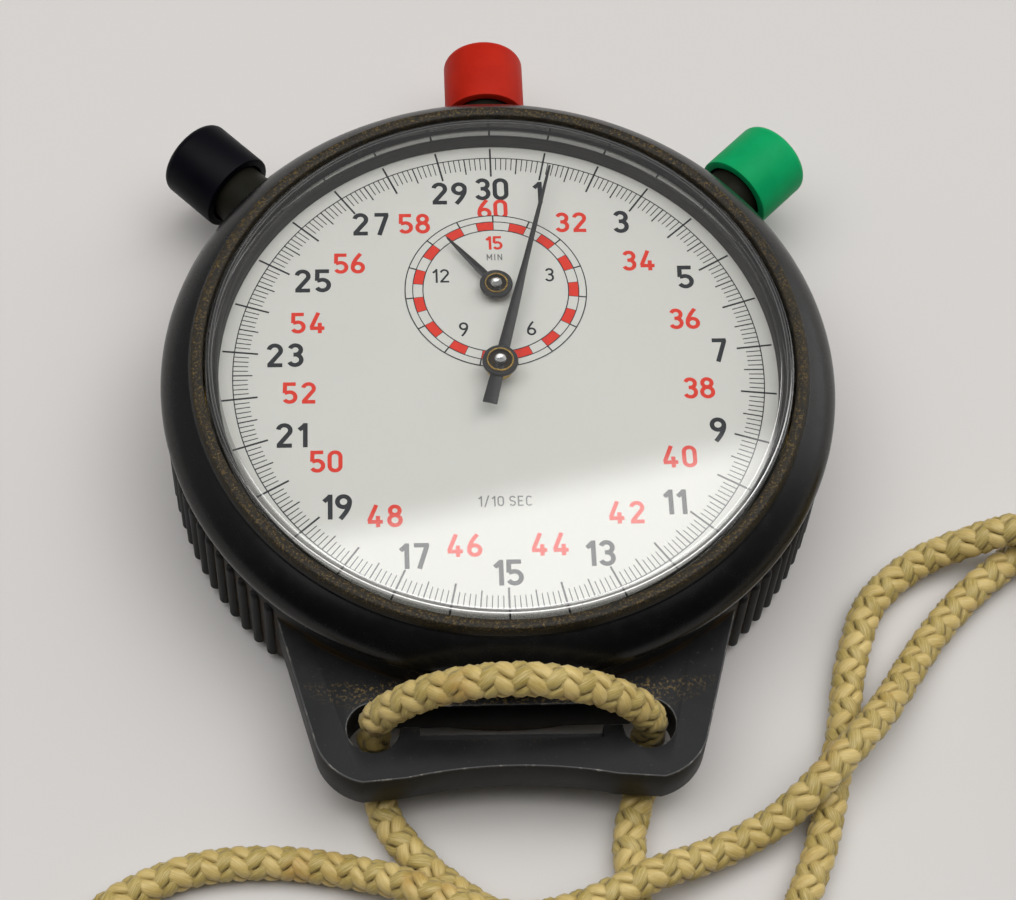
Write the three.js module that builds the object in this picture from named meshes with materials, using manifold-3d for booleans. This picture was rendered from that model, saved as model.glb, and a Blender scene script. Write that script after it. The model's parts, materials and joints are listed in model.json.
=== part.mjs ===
// A mechanical hand-held stopwatch, millimetres, +Z up: it lies on its back cover on the plane z = 0.
// The dial's axis is the Z axis, the red winding crown points along +Y and the lanyard lug along -Y.
import * as THREE from "three";
import Module from "manifold-3d";
import { mergeVertices } from "three/addons/utils/BufferGeometryUtils.js";

const wasm = await Module();
wasm.setup();

const TAU = 2 * Math.PI;
const DEG = Math.PI / 180;
const RING = 60; // sides of the large turned parts
const SMALL = 12; // sides of pins and hubs

// ---- driving dimensions ----
const CASE_R = 26.9; // case band
const CASE_INNER_R = 24.4;
const CASE_FOOT_Z = 0.7;
const CASE_TOP_Z = 11;
const RIB_CREST_R = 27.3;
const RIB_VALLEY_R = 26.95;
const RIB_COUNT = 110;
const RIB_TOP_Z = 8.9;
const RIB_GAP = 8; // degrees left without ribs each side of a button neck
const COVER_R = 25.6;
const COVER_Z = 1.6;
const BEZEL_R = 27.5;
const DIAL_R = 23.3;
const DIAL_Z = 12;
const GLASS_R = 23.85;
const GLASS_Z = 15;
const PLATE_R = 22.5; // movement main plate
const PLATE_Z = [9.6, 11];
const BRIDGE_Z = [2, 3];
const ARBOR_FOOT_Z = 2.3; // arbors turn in the bridges' and the main plate's bearings
const ARBOR_TOP_Z = 10.4;
const MINUTE_AXIS = [0, 8.08]; // centre of the minute register

const BUTTON_Z = 6.6; // height of the three button axes
const NECK_R = 2.6;
const NECK_END = 32.3;
const STEM_R = 0.9;
const STEM_BORE_R = 1.15;
const CAP_R = 3.5;
const CAP_BORE_R = 2.85;
const SPRING_R = 1.75;
const BUTTONS = {
  red: { angle: 90, mouth: 30.1, end: 36.3, stemIn: 19 },
  green: { angle: 45, mouth: 30.4, end: 36.3, stemIn: 21 },
  black: { angle: 134.5, mouth: 31.1, end: 36.9, stemIn: 21 },
};

const LUG_Z = [4, 8];
const LUG_HOLE = { x: 10.65, y: -29.58, r: 2.05 };
const LUG_SLOT = { half: 8.9, low: -29.65, high: -27.9 };
const LUG_LEDGE = { half: 7.1, low: -30.7, z: 6.3 };

const CORD_R = 1.4;
const HANK = { x: 60.3, high: -13.6, low: -33.6, inner: 4.4, outer: 12.8, height: 5.6 };
const KNOT = { x: -12.5, y: -49.7, r: 2.7, half: 3.1, turn: -86.6 };

// ---- gear train: pitch radius, teeth and place of each wheel ----
const AXES = {
  seconds: [0, 0],
  third: [-5.262, -1.915],
  centre: [-10.112, 0.885],
  barrel: [-10.783, 8.556],
  escape: [5.2, -0.917],
  pallet: [8.57, -3.745],
  balance: [11.47, -8.77],
  crownWheel: [-3.9, 13.1],
};
const PILLAR_R = 20.9;
const PILLARS = [118, 165, 65, 215, 280, 355];

// ---- geometry helpers ----
function solidOf(geometry) {
  const flat = geometry.index ? geometry.toNonIndexed() : geometry;
  const bare = new THREE.BufferGeometry().setAttribute("position", flat.getAttribute("position"));
  const merged = mergeVertices(bare, 1e-4);
  const kept = [];
  const index = merged.index.array;
  for (let i = 0; i < index.length; i += 3) {
    const [a, b, c] = [index[i], index[i + 1], index[i + 2]];
    if (a !== b && b !== c && a !== c) kept.push(a, b, c);
  }
  const build = (triangles) =>
    new wasm.Manifold(
      new wasm.Mesh({
        numProp: 3,
        vertProperties: merged.attributes.position.array,
        triVerts: new Uint32Array(triangles),
      }),
    );
  const made = build(kept);
  if (made.volume() >= 0) return made;
  for (let i = 0; i < kept.length; i += 3) [kept[i + 1], kept[i + 2]] = [kept[i + 2], kept[i + 1]];
  return build(kept);
}

function geometryOf(solid) {
  const mesh = solid.getMesh();
  const geometry = new THREE.BufferGeometry();
  geometry.setAttribute("position", new THREE.BufferAttribute(mesh.vertProperties, 3));
  geometry.setIndex(new THREE.BufferAttribute(mesh.triVerts, 1));
  return geometry;
}

const join = (...pieces) => geometryOf(pieces.map(solidOf).reduce((all, next) => all.add(next)));
const cut = (piece, ...holes) =>
  geometryOf(holes.map(solidOf).reduce((rest, hole) => rest.subtract(hole), solidOf(piece)));

// Turns a closed [radius, z] outline about the Z axis.
function turned(outline, sides = RING) {
  const points = [...outline, outline[0]].map(([r, z]) => new THREE.Vector2(r, z));
  const lathe = new THREE.LatheGeometry(points, sides);
  lathe.rotateX(Math.PI / 2);
  return geometryOf(solidOf(lathe));
}

const polar = (r, degrees) => [r * Math.cos(degrees * DEG), r * Math.sin(degrees * DEG)];
const place = (geometry, [x, y], z = 0) => geometry.translate(x, y, z);
const circle = (r, sides, [x, y] = [0, 0]) =>
  Array.from({ length: sides }, (_, i) => {
    const [dx, dy] = polar(r, (360 * i) / sides);
    return [x + dx, y + dy];
  });

// A flat plate from an outline and its holes, between two heights.
function plate(outline, [low, high], holes = []) {
  const shape = new THREE.Shape(outline.map(([x, y]) => new THREE.Vector2(x, y)));
  shape.holes = holes.map((hole) => new THREE.Path(hole.map(([x, y]) => new THREE.Vector2(x, y))));
  const slab = new THREE.ExtrudeGeometry(shape, { depth: high - low, bevelEnabled: false });
  return geometryOf(solidOf(slab.translate(0, 0, low)));
}

const disc = (r, heights, centre = [0, 0], sides = SMALL) => plate(circle(r, sides, centre), heights);

// A bar with round ends between two points.
function bar([x1, y1], [x2, y2], halfWidth, heights) {
  const along = Math.atan2(y2 - y1, x2 - x1) / DEG;
  const end = (x, y, from) =>
    Array.from({ length: 5 }, (_, i) => {
      const [dx, dy] = polar(halfWidth, from + i * 45);
      return [x + dx, y + dy];
    });
  return plate([...end(x2, y2, along - 90), ...end(x1, y1, along + 90)], heights);
}

// A tube of round section that follows a list of points.
function tube(points, r, steps, sides = 8) {
  const curve = new THREE.CatmullRomCurve3(points.map((p) => new THREE.Vector3(...p)), false, "centripetal");
  const section = new THREE.Shape(circle(r, sides).map(([x, y]) => new THREE.Vector2(x, y)));
  const made = new THREE.ExtrudeGeometry(section, { steps, bevelEnabled: false, extrudePath: curve });
  return geometryOf(solidOf(made));
}

// Pointed wheel teeth: one tip and one root per tooth, the first tip at the angle phase in degrees.
function wheelOutline(teeth, pitchR, phase, module) {
  const outline = [];
  for (let i = 0; i < teeth; i++) {
    const angle = phase + (360 * i) / teeth;
    outline.push(polar(pitchR + 0.7 * module, angle));
    outline.push(polar(pitchR - 1.1 * module, angle + 180 / teeth));
  }
  return outline;
}

// Slim pinion leaves, the first leaf at the angle phase in degrees.
function pinionOutline(leaves, pitchR, phase, module) {
  const outline = [];
  const pitch = 360 / leaves;
  for (let i = 0; i < leaves; i++) {
    const angle = phase + i * pitch;
    outline.push(polar(pitchR - 1.0 * module, angle - 0.17 * pitch));
    outline.push(polar(pitchR + 0.6 * module, angle - 0.06 * pitch));
    outline.push(polar(pitchR + 0.6 * module, angle + 0.06 * pitch));
    outline.push(polar(pitchR - 1.0 * module, angle + 0.17 * pitch));
  }
  return outline;
}

const direction = (from, to) => Math.atan2(to[1] - from[1], to[0] - from[0]) / DEG;

// A wheel, its optional pinion and its arbor as one turned piece. The wheel shows a tip to its driver.
function wheelSet({ at, teeth, pitchR, module, wheelZ, facing, pinion, arbor }) {
  const pieces = [plate(wheelOutline(teeth, pitchR, facing, module), wheelZ)];
  const crossing = pitchR * 0.62;
  if (crossing > 2) {
    const windows = [0, 90, 180, 270].map((turn) => {
      const outer = [15, 45, 75].map((a) => polar(crossing * 1.18, a + turn));
      const inner = [70, 20].map((a) => polar(crossing * 0.5, a + turn));
      return [...outer, ...inner];
    });
    pieces[0] = plate(wheelOutline(teeth, pitchR, facing, module), wheelZ, windows);
  }
  if (pinion) {
    const phase = pinion.facing + 180 / pinion.leaves;
    pieces.push(plate(pinionOutline(pinion.leaves, pinion.pitchR, phase, pinion.module), pinion.z));
  }
  for (const [r, low, high] of arbor) pieces.push(disc(r, [low, high], [0, 0], 12));
  return place(join(...pieces), at);
}

// ---- materials ----
const finish = (color, metalness, roughness) =>
  new THREE.MeshStandardMaterial({ color, metalness, roughness });
const MATERIALS = {
  blackCase: finish(0x1b1c1f, 0.3, 0.45),
  blackBezel: finish(0x121314, 0.2, 0.3),
  crystal: Object.assign(finish(0xf4f8fa, 0, 0.05), { transparent: true, opacity: 0.15 }),
  darkRing: finish(0x2a2a28, 0.2, 0.5),
  dial: finish(0xe9e6de, 0, 0.4),
  red: finish(0xb82814, 0, 0.35),
  green: finish(0x0a9456, 0, 0.35),
  black: finish(0x0c0d14, 0, 0.35),
  hand: finish(0x0b0b10, 0.1, 0.4),
  brass: finish(0xc19a4b, 0.9, 0.35),
  steel: finish(0xb4b6ba, 0.9, 0.3),
  nickel: finish(0xc9c7bf, 0.8, 0.4),
  blueSteel: finish(0x26335f, 0.9, 0.25),
  cord: finish(0xb9a662, 0, 0.7),
};

const stopwatch = new THREE.Group();
function add(name, geometry, material, parent = stopwatch) {
  const mesh = new THREE.Mesh(geometry, material);
  mesh.name = name;
  parent.add(mesh);
  return mesh;
}

// ---- case ----
function ribBand() {
  const outline = [];
  for (let i = 0; i < RIB_COUNT; i++) {
    const angle = 270 + (360 * i) / RIB_COUNT;
    const nearNeck = Object.values(BUTTONS).some((button) => {
      const away = Math.abs(((angle - button.angle + 540) % 360) - 180);
      return away < RIB_GAP;
    });
    outline.push(polar(nearNeck ? RIB_VALLEY_R : RIB_CREST_R, angle));
    outline.push(polar(RIB_VALLEY_R, angle + 180 / RIB_COUNT));
  }
  return plate(outline, [CASE_FOOT_Z + 0.1, RIB_TOP_Z], [circle(CASE_R - 0.6, RING).reverse()]);
}

function lugPlate() {
  const corner = { x: 10.5, y: -29.4, r: 4.85 };
  const front = { y: -72.9, r: 39.9 };
  const outline = [];
  for (let angle = -45; angle >= -135; angle -= 7.5) outline.push(polar(26, angle));
  for (let angle = 195; angle <= 257; angle += 12.4) {
    const [dx, dy] = polar(corner.r, angle);
    outline.push([dx - corner.x, dy + corner.y]);
  }
  for (let angle = 102; angle >= 78; angle -= 4) {
    const [dx, dy] = polar(front.r, angle);
    outline.push([dx, dy + front.y]);
  }
  for (let angle = 283; angle <= 345; angle += 12.4) {
    const [dx, dy] = polar(corner.r, angle);
    outline.push([dx + corner.x, dy + corner.y]);
  }
  return plate(outline, LUG_Z);
}

function lugOpenings() {
  const through = [LUG_Z[0] - 1, LUG_Z[1] + 1];
  const { half, low, high } = LUG_SLOT;
  const ledge = LUG_LEDGE;
  return [
    disc(LUG_HOLE.r, through, [LUG_HOLE.x, LUG_HOLE.y], 24),
    disc(LUG_HOLE.r, through, [-LUG_HOLE.x, LUG_HOLE.y], 24),
    plate([[-half, low], [half, low], [half, high], [-half, high]], through),
    plate(
      [[-ledge.half, ledge.low], [ledge.half, ledge.low], [ledge.half, high], [-ledge.half, high]],
      [ledge.z, through[1]],
    ),
  ];
}

// A cylinder along a button's axis, from one distance out to another.
function onAxis(r, from, to, angle, sides = 24) {
  const made = new THREE.CylinderGeometry(r, r, to - from, sides);
  made.translate(0, (from + to) / 2, 0);
  made.rotateZ((angle - 90) * DEG);
  return geometryOf(solidOf(made.translate(0, 0, BUTTON_Z)));
}

function caseBody() {
  const wall = turned([
    [CASE_INNER_R, COVER_Z + 0.1],
    [COVER_R + 0.15, COVER_Z + 0.1],
    [COVER_R + 0.15, CASE_FOOT_Z],
    [CASE_R - 0.3, CASE_FOOT_Z],
    [CASE_R, CASE_FOOT_Z + 0.3],
    [CASE_R, CASE_TOP_Z],
    [CASE_INNER_R, CASE_TOP_Z],
  ]);
  const angles = Object.values(BUTTONS).map((button) => button.angle);
  const necks = angles.map((angle) => onAxis(NECK_R, CASE_R - 1.5, NECK_END, angle));
  const bores = angles.map((angle) => onAxis(STEM_BORE_R, CASE_INNER_R - 2, NECK_END + 1, angle));
  return cut(join(wall, ribBand(), ...necks, lugPlate()), ...bores, ...lugOpenings());
}

add("case_body", caseBody(), MATERIALS.blackCase);
add(
  "back_cover",
  turned([
    [0, 0],
    [24.6, 0],
    [COVER_R, 0.6],
    [COVER_R, COVER_Z],
    [0, COVER_Z],
  ]),
  MATERIALS.blackCase,
);
add(
  "bezel",
  turned([
    [23.95, CASE_TOP_Z],
    [27.2, CASE_TOP_Z],
    [BEZEL_R, 11.3],
    [27.4, 11.9],
    [26.85, 12.75],
    [26, 13.6],
    [25.05, 14.25],
    [24.7, 15.1],
    [23.95, 15.05],
  ]),
  MATERIALS.blackBezel,
);
add(
  "crystal",
  turned([
    [0, 14.4],
    [22.9, 14.4],
    [23.2, 14.1],
    [23.2, 12.9],
    [GLASS_R, 12.9],
    [GLASS_R, 14.6],
    [23.45, GLASS_Z],
    [0, GLASS_Z],
  ]),
  MATERIALS.crystal,
);
add(
  "reflector_ring",
  turned([
    [22.8, DIAL_Z + 0.05],
    [GLASS_R, DIAL_Z + 0.05],
    [GLASS_R, 12.85],
    [23, 12.85],
  ]),
  MATERIALS.darkRing,
);
add(
  "dial",
  plate(circle(DIAL_R, RING), [11.6, DIAL_Z], [
    circle(0.75, SMALL).reverse(),
    circle(0.75, SMALL, MINUTE_AXIS).reverse(),
  ]),
  MATERIALS.dial,
);
add(
  "movement_ring",
  turned([
    [22.7, 9],
    [24.2, 9],
    [24.2, 10.95],
    [23.8, 10.95],
    [23.8, 11.5],
    [22.7, 11.5],
  ], 36),
  MATERIALS.brass,
);

// ---- buttons and crown ----
function capShape(mouth, end) {
  const round = 0.8;
  return turned([
    [CAP_BORE_R, mouth],
    [CAP_R - 0.25, mouth],
    [CAP_R, mouth + 0.25],
    [CAP_R, end - round],
    [CAP_R - 0.12, end - 0.4],
    [CAP_R - 0.4, end - 0.12],
    [CAP_R - round, end],
    [0, end],
    [0, end - 1.5],
    [CAP_BORE_R, end - 1.5],
  ], 24);
}

// The pieces of a button are made along +Z and then laid along the button's axis.
function layAlong(geometry, angle) {
  geometry.rotateX(-Math.PI / 2);
  geometry.rotateZ((angle - 90) * DEG);
  return geometry.translate(0, 0, BUTTON_Z);
}

function helixPoints(r, turns, from, to) {
  const perTurn = 8;
  return Array.from({ length: turns * perTurn + 1 }, (_, i) => {
    const [x, y] = polar(r, (360 * i) / perTurn);
    return [x, y, from + ((to - from) * i) / (turns * perTurn)];
  });
}

// The crown's stem ends in a square that turns the winding pinion and slides through it.
const SQUARE = { half: 0.62, boreHalf: 0.75, from: 16.4, to: 19.3 };
const square = (half) => [[-half, -half], [half, -half], [half, half], [-half, half]];
const squareEnd = () => layAlong(plate(square(SQUARE.half), [SQUARE.from, SQUARE.to]), BUTTONS.red.angle);

for (const [colour, button] of Object.entries(BUTTONS)) {
  const label = colour === "red" ? "crown" : colour + "_button";
  const floor = button.end - 1.5;
  const capName = colour === "red" ? "red_crown_cap" : label + "_cap";
  add(capName, layAlong(capShape(button.mouth, button.end), button.angle), MATERIALS[colour]);
  const stem = onAxis(STEM_R, button.stemIn, floor, button.angle, SMALL);
  add(label + "_stem", colour === "red" ? join(stem, squareEnd()) : stem, MATERIALS.steel);
  const spring = tube(helixPoints(SPRING_R, 3, NECK_END + 0.3, floor - 0.3), 0.2, 24, 4);
  add(label + "_spring", layAlong(spring, button.angle), MATERIALS.steel);
}

const WINDING_PINION = { leaves: 12, pitchR: 2.2, module: 0.4, z: [15.6, 17.3] };
function windingPinion() {
  const { leaves, pitchR, module, z } = WINDING_PINION;
  const made = plate(pinionOutline(leaves, pitchR, 0, module), z, [square(SQUARE.boreHalf).reverse()]);
  return layAlong(made, BUTTONS.red.angle);
}
add("winding_pinion", windingPinion(), MATERIALS.steel);

// ---- plates, bridges, pillars and screws ----
const hole = (at, r = 0.55) => circle(r, 12, at).reverse();
add(
  "mainplate",
  plate(circle(PLATE_R, RING), PLATE_Z, [
    hole(AXES.seconds),
    hole(MINUTE_AXIS),
    ...["third", "centre", "escape", "pallet", "balance"].map((name) => hole(AXES[name])),
    hole(AXES.barrel, 1.35),
  ]),
  MATERIALS.brass,
);
const pillarAt = PILLARS.map((angle) => polar(PILLAR_R, angle));

function bridge(arms, halfWidth, bearings, feet) {
  const body = join(...arms.map(([from, to]) => bar(from, to, halfWidth, BRIDGE_Z)));
  const through = [BRIDGE_Z[0] - 1, BRIDGE_Z[1] + 1];
  const holes = bearings.map(([at, r]) => disc(r, through, at, 12));
  return cut(body, ...holes, ...feet.map((at) => disc(0.55, through, at, 12)));
}

add(
  "barrel_bridge",
  bridge(
    [[pillarAt[0], AXES.crownWheel], [AXES.crownWheel, AXES.barrel], [AXES.barrel, pillarAt[1]]],
    2.2,
    [[AXES.barrel, 1.35], [AXES.crownWheel, 0.75]],
    [pillarAt[0], pillarAt[1]],
  ),
  MATERIALS.nickel,
);
add(
  "train_bridge",
  bridge(
    [
      [pillarAt[2], MINUTE_AXIS],
      [MINUTE_AXIS, AXES.seconds],
      [AXES.seconds, AXES.third],
      [AXES.third, AXES.centre],
      [AXES.third, pillarAt[3]],
      [AXES.seconds, AXES.escape],
      [AXES.seconds, pillarAt[4]],
    ],
    1.6,
    [
      [MINUTE_AXIS, 0.55],
      [AXES.seconds, 0.55],
      [AXES.third, 0.55],
      [AXES.centre, 0.55],
      [AXES.escape, 0.55],
    ],
    [pillarAt[2], pillarAt[3], pillarAt[4]],
  ),
  MATERIALS.nickel,
);
add(
  "balance_cock",
  bridge(
    [[pillarAt[5], AXES.balance], [AXES.balance, AXES.pallet]],
    1.7,
    [[AXES.balance, 0.55], [AXES.pallet, 0.55]],
    [pillarAt[5]],
  ),
  MATERIALS.nickel,
);
pillarAt.forEach((at, i) => {
  add("pillar_" + (i + 1), disc(1.1, [BRIDGE_Z[1], PLATE_Z[0]], at, 12), MATERIALS.brass);
  const screw = join(disc(0.95, [COVER_Z + 0.1, BRIDGE_Z[0]], at, 8), disc(0.42, [1.8, 2.9], at, 8));
  add("bridge_screw_" + (i + 1), screw, MATERIALS.blueSteel);
});

// ---- winding work and barrel ----
const BARREL = { teeth: 60, pitchR: 6.6, module: 0.22 };
const barrelShell = turned([
  [1.4, 5.2],
  [5.8, 5.2],
  [5.8, 4.4],
  [6.1, 4.4],
  [6.1, 5.6],
  [1.4, 5.6],
], 24);
const barrelFacing = direction(AXES.barrel, AXES.centre);
const barrelRim = plate(
  wheelOutline(BARREL.teeth, BARREL.pitchR, barrelFacing, BARREL.module),
  [5.15, 5.6],
  [circle(5.9, 24).reverse()],
);
add("mainspring_barrel", place(join(barrelShell, barrelRim), AXES.barrel), MATERIALS.brass);
const springCoil = Array.from({ length: 43 }, (_, i) => {
  const [x, y] = polar(2 + (3.3 * i) / 42, (360 * i) / 12);
  return [x, y, 4.8];
});
add("mainspring", place(tube(springCoil, 0.22, 42, 4), AXES.barrel), MATERIALS.blueSteel);
add(
  "barrel_arbor",
  disc(1.1, [BRIDGE_Z[0] + 0.1, ARBOR_TOP_Z], AXES.barrel, 12),
  MATERIALS.steel,
);
const ratchetOutline = wheelOutline(28, 3.65, direction(AXES.barrel, AXES.crownWheel), 0.25);
const RATCHET_Z = [3.3, 3.9];
add(
  "ratchet_wheel",
  place(plate(ratchetOutline, RATCHET_Z, [circle(1.2, SMALL).reverse()]), AXES.barrel),
  MATERIALS.steel,
);
const crownOutline = wheelOutline(35, 4.6, direction(AXES.crownWheel, AXES.barrel) + 180 / 35, 0.25);
add(
  "crown_wheel",
  place(join(plate(crownOutline, RATCHET_Z), disc(0.6, [2.1, 3.5], [0, 0], 12)), AXES.crownWheel),
  MATERIALS.steel,
);
const CLICK_PIVOT = [-18.3, 10.9];
add(
  "click",
  join(bar(CLICK_PIVOT, [-15.3, 10.1], 0.55, RATCHET_Z), disc(0.8, RATCHET_Z, CLICK_PIVOT, 12)),
  MATERIALS.steel,
);

// ---- going train ----
const TRAIN_MODULE = 0.2;
add(
  "centre_wheel",
  wheelSet({
    at: AXES.centre,
    teeth: 48,
    pitchR: 4.8,
    module: TRAIN_MODULE,
    wheelZ: [6.2, 6.6],
    facing: direction(AXES.centre, AXES.third),
    pinion: {
      leaves: 10,
      pitchR: 1.1,
      module: 0.22,
      z: [4.9, 6.3],
      facing: direction(AXES.centre, AXES.barrel),
    },
    arbor: [[0.42, ARBOR_FOOT_Z, ARBOR_TOP_Z]],
  }),
  MATERIALS.brass,
);
add(
  "third_wheel",
  wheelSet({
    at: AXES.third,
    teeth: 48,
    pitchR: 4.8,
    module: TRAIN_MODULE,
    wheelZ: [7.4, 7.8],
    facing: direction(AXES.third, AXES.seconds),
    pinion: {
      leaves: 8,
      pitchR: 0.8,
      module: TRAIN_MODULE,
      z: [6, 7.5],
      facing: direction(AXES.third, AXES.centre),
    },
    arbor: [[0.36, ARBOR_FOOT_Z, ARBOR_TOP_Z]],
  }),
  MATERIALS.brass,
);
add(
  "seconds_wheel",
  wheelSet({
    at: AXES.seconds,
    teeth: 60,
    pitchR: 4.8,
    module: 0.16,
    wheelZ: [8.6, 9],
    facing: direction(AXES.seconds, AXES.escape),
    pinion: {
      leaves: 8,
      pitchR: 0.8,
      module: TRAIN_MODULE,
      z: [7.1, 8.7],
      facing: direction(AXES.seconds, AXES.third),
    },
    arbor: [[0.37, ARBOR_FOOT_Z, 14.2]],
  }),
  MATERIALS.brass,
);
add(
  "escape_wheel",
  wheelSet({
    at: AXES.escape,
    teeth: 15,
    pitchR: 2.7,
    module: 0.4,
    wheelZ: [6.4, 6.8],
    facing: 0,
    pinion: {
      leaves: 6,
      pitchR: 0.48,
      module: 0.16,
      z: [8.3, 9.2],
      facing: direction(AXES.escape, AXES.seconds),
    },
    arbor: [[0.3, ARBOR_FOOT_Z, ARBOR_TOP_Z]],
  }),
  MATERIALS.steel,
);

function palletFork() {
  const pivot = AXES.pallet;
  const heights = [6.35, 6.75];
  const toEscape = direction(pivot, AXES.escape);
  const reach = (r, turn) => {
    const [dx, dy] = polar(r, toEscape + turn);
    return [pivot[0] + dx, pivot[1] + dy];
  };
  const toBalance = direction(pivot, AXES.balance) - toEscape;
  return join(
    bar(pivot, reach(2.2, 62), 0.25, heights),
    bar(pivot, reach(2.2, -62), 0.25, heights),
    bar(pivot, reach(3.1, toBalance), 0.3, heights),
    disc(0.3, [ARBOR_FOOT_Z, ARBOR_TOP_Z], pivot, 12),
  );
}
add("pallet_fork", palletFork(), MATERIALS.steel);

function balanceWheel() {
  const rim = plate(circle(5.2, 40), [7.2, 7.9], [circle(4.6, 40).reverse()]);
  const spokes = [0, 60, 120].map((a) => bar(polar(-4.8, a), polar(4.8, a), 0.25, [7.35, 7.7]));
  return join(rim, ...spokes, disc(0.9, [7, 7.8], [0, 0], 12), disc(0.3, [ARBOR_FOOT_Z, ARBOR_TOP_Z], [0, 0], 12));
}
add("balance_wheel", place(balanceWheel(), AXES.balance), MATERIALS.brass);
const hairCoil = Array.from({ length: 41 }, (_, i) => {
  const [x, y] = polar(0.8 + (2.2 * i) / 40, (360 * i) / 10);
  return [x, y, 4.3];
});
add("hairspring", place(tube(hairCoil, 0.1, 40, 4), AXES.balance), MATERIALS.blueSteel);

// ---- register train, reset and start work ----
add(
  "minute_recorder_wheel",
  wheelSet({
    at: MINUTE_AXIS,
    teeth: 30,
    pitchR: 3,
    module: 0.2,
    wheelZ: [7.4, 7.8],
    facing: -90,
    arbor: [[0.36, ARBOR_FOOT_Z, 13.2]],
  }),
  MATERIALS.brass,
);

// A heart-shaped cam: its radius grows evenly from the notch to the point.
function heart(smallR, largeR, heights, arborR) {
  const outline = [];
  for (let angle = 0; angle < 360; angle += 15) {
    const share = Math.abs(angle - 180) / 180;
    outline.push(polar(smallR + (largeR - smallR) * (1 - share), angle - 90));
  }
  return plate(outline, heights, [circle(arborR, SMALL).reverse()]);
}
const CAM_Z = [5.3, 5.9];
add("heart_cam_seconds", heart(0.8, 2.1, CAM_Z, 0.45), MATERIALS.steel);
add("heart_cam_minutes", place(heart(0.7, 1.8, CAM_Z, 0.45), MINUTE_AXIS), MATERIALS.steel);

const HAMMER_PIVOT = [10.5, 12.8];
const hammerOutline = [
  [3.2, -1.2],
  [3.9, -1.2],
  [4.4, 4.4],
  [8.4, 10.2],
  [11.8, 11.2],
  [13.1, 13.1],
  [12.2, 14.2],
  [9.2, 14.6],
  [5.4, 12.2],
  [2.6, 10],
  [2.6, 6.4],
  [3.2, 5.2],
];
add(
  "reset_hammer",
  join(plate(hammerOutline, CAM_Z), disc(0.7, [3.3, 9.3], HAMMER_PIVOT, 12)),
  MATERIALS.steel,
);

function startLever() {
  const inner = 17.6;
  const outer = 19;
  const outline = [];
  for (let angle = 138; angle <= 304.1; angle += 8.3) outline.push(polar(inner, angle));
  for (let angle = 304; angle >= 137.9; angle -= 8.3) outline.push(polar(outer, angle));
  return join(plate(outline, [7.3, 7.8]), disc(0.7, [6.6, 9.3], polar(18.3, 150), 12));
}
add("start_lever", startLever(), MATERIALS.steel);

// ---- hands ----
function secondsHand() {
  const blade = plate(
    [[-0.5, -4], [0.5, -4], [0.42, 3], [0.12, 20.3], [-0.12, 20.3], [-0.42, 3]],
    [13.62, 13.78],
  );
  const collar = disc(1.45, [13.62, 13.95], [0, 0], 24);
  return cut(join(blade, collar), disc(1.14, [13, 14.4], [0, 0], 24)).rotateZ(-14.1 * DEG);
}
const bush = (r, heights) => cut(disc(r, heights, [0, 0], 24), disc(0.4, [12, 15], [0, 0], 24));
const secondsArbor = new THREE.Group();
stopwatch.add(secondsArbor);
add("seconds_hand", secondsHand(), MATERIALS.hand, secondsArbor);
add("seconds_hand_hub", bush(1.1, [12.6, 14.1]), MATERIALS.brass, secondsArbor);

function minuteHand() {
  const blade = plate(
    [[-0.3, -1.6], [0.3, -1.6], [0.38, 2], [0.1, 6.2], [-0.1, 6.2], [-0.38, 2]],
    [12.72, 12.86],
  );
  const collar = disc(1.3, [12.72, 13.05], [0, 0], 24);
  return cut(join(blade, collar), disc(0.99, [12, 14], [0, 0], 24)).rotateZ(39.2 * DEG);
}
const minuteArbor = new THREE.Group();
minuteArbor.position.set(...MINUTE_AXIS, 0);
stopwatch.add(minuteArbor);
add("minute_hand", minuteHand(), MATERIALS.hand, minuteArbor);
add("minute_hand_hub", bush(0.95, [12.4, 13.15]), MATERIALS.brass, minuteArbor);

// ---- lanyard ----
// From the left lug hole, over the table and to the right, into the top layer of the hank.
const CORD_OUT = [
  [-10.65, -29.05, 6.5],
  [-10.65, -29.3, 5],
  [-10.6, -30, 3.6],
  [-10.45, -31.1, 2.45],
  [-10.25, -32.5, 1.7],
  [-9.9, -34.1, 1.4],
  [-9, -35.8, 1.4],
  [-7.6, -37.6, 1.4],
  [-5.9, -39.4, 1.4],
  [-3.4, -41.4, 1.4],
  [-0.2, -43.5, 1.4],
  [3.2, -45.6, 2.1],
  [6.2, -47.2, 3.7],
  [9.4, -48.3, 4.5],
  [12.8, -48.6, 3.7],
  [16, -47.8, 2.2],
  [19, -45.9, 1.4],
  [21.6, -43, 1.4],
  [23.8, -38.5, 1.4],
  [24.9, -35.2, 1.4],
  [25.9, -31.4, 1.4],
  [27, -27.2, 1.4],
  [27.7, -23.6, 1.4],
  [28.7, -20.1, 1.4],
  [30.2, -16.6, 1.4],
  [32.8, -13.9, 1.4],
  [35.8, -12.2, 1.9],
  [39, -11.5, 3.1],
  [42.1, -11.05, 4.2],
  [43.6, -11.1, 4.3],
  [45.5, -11.7, 4.3],
];
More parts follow.
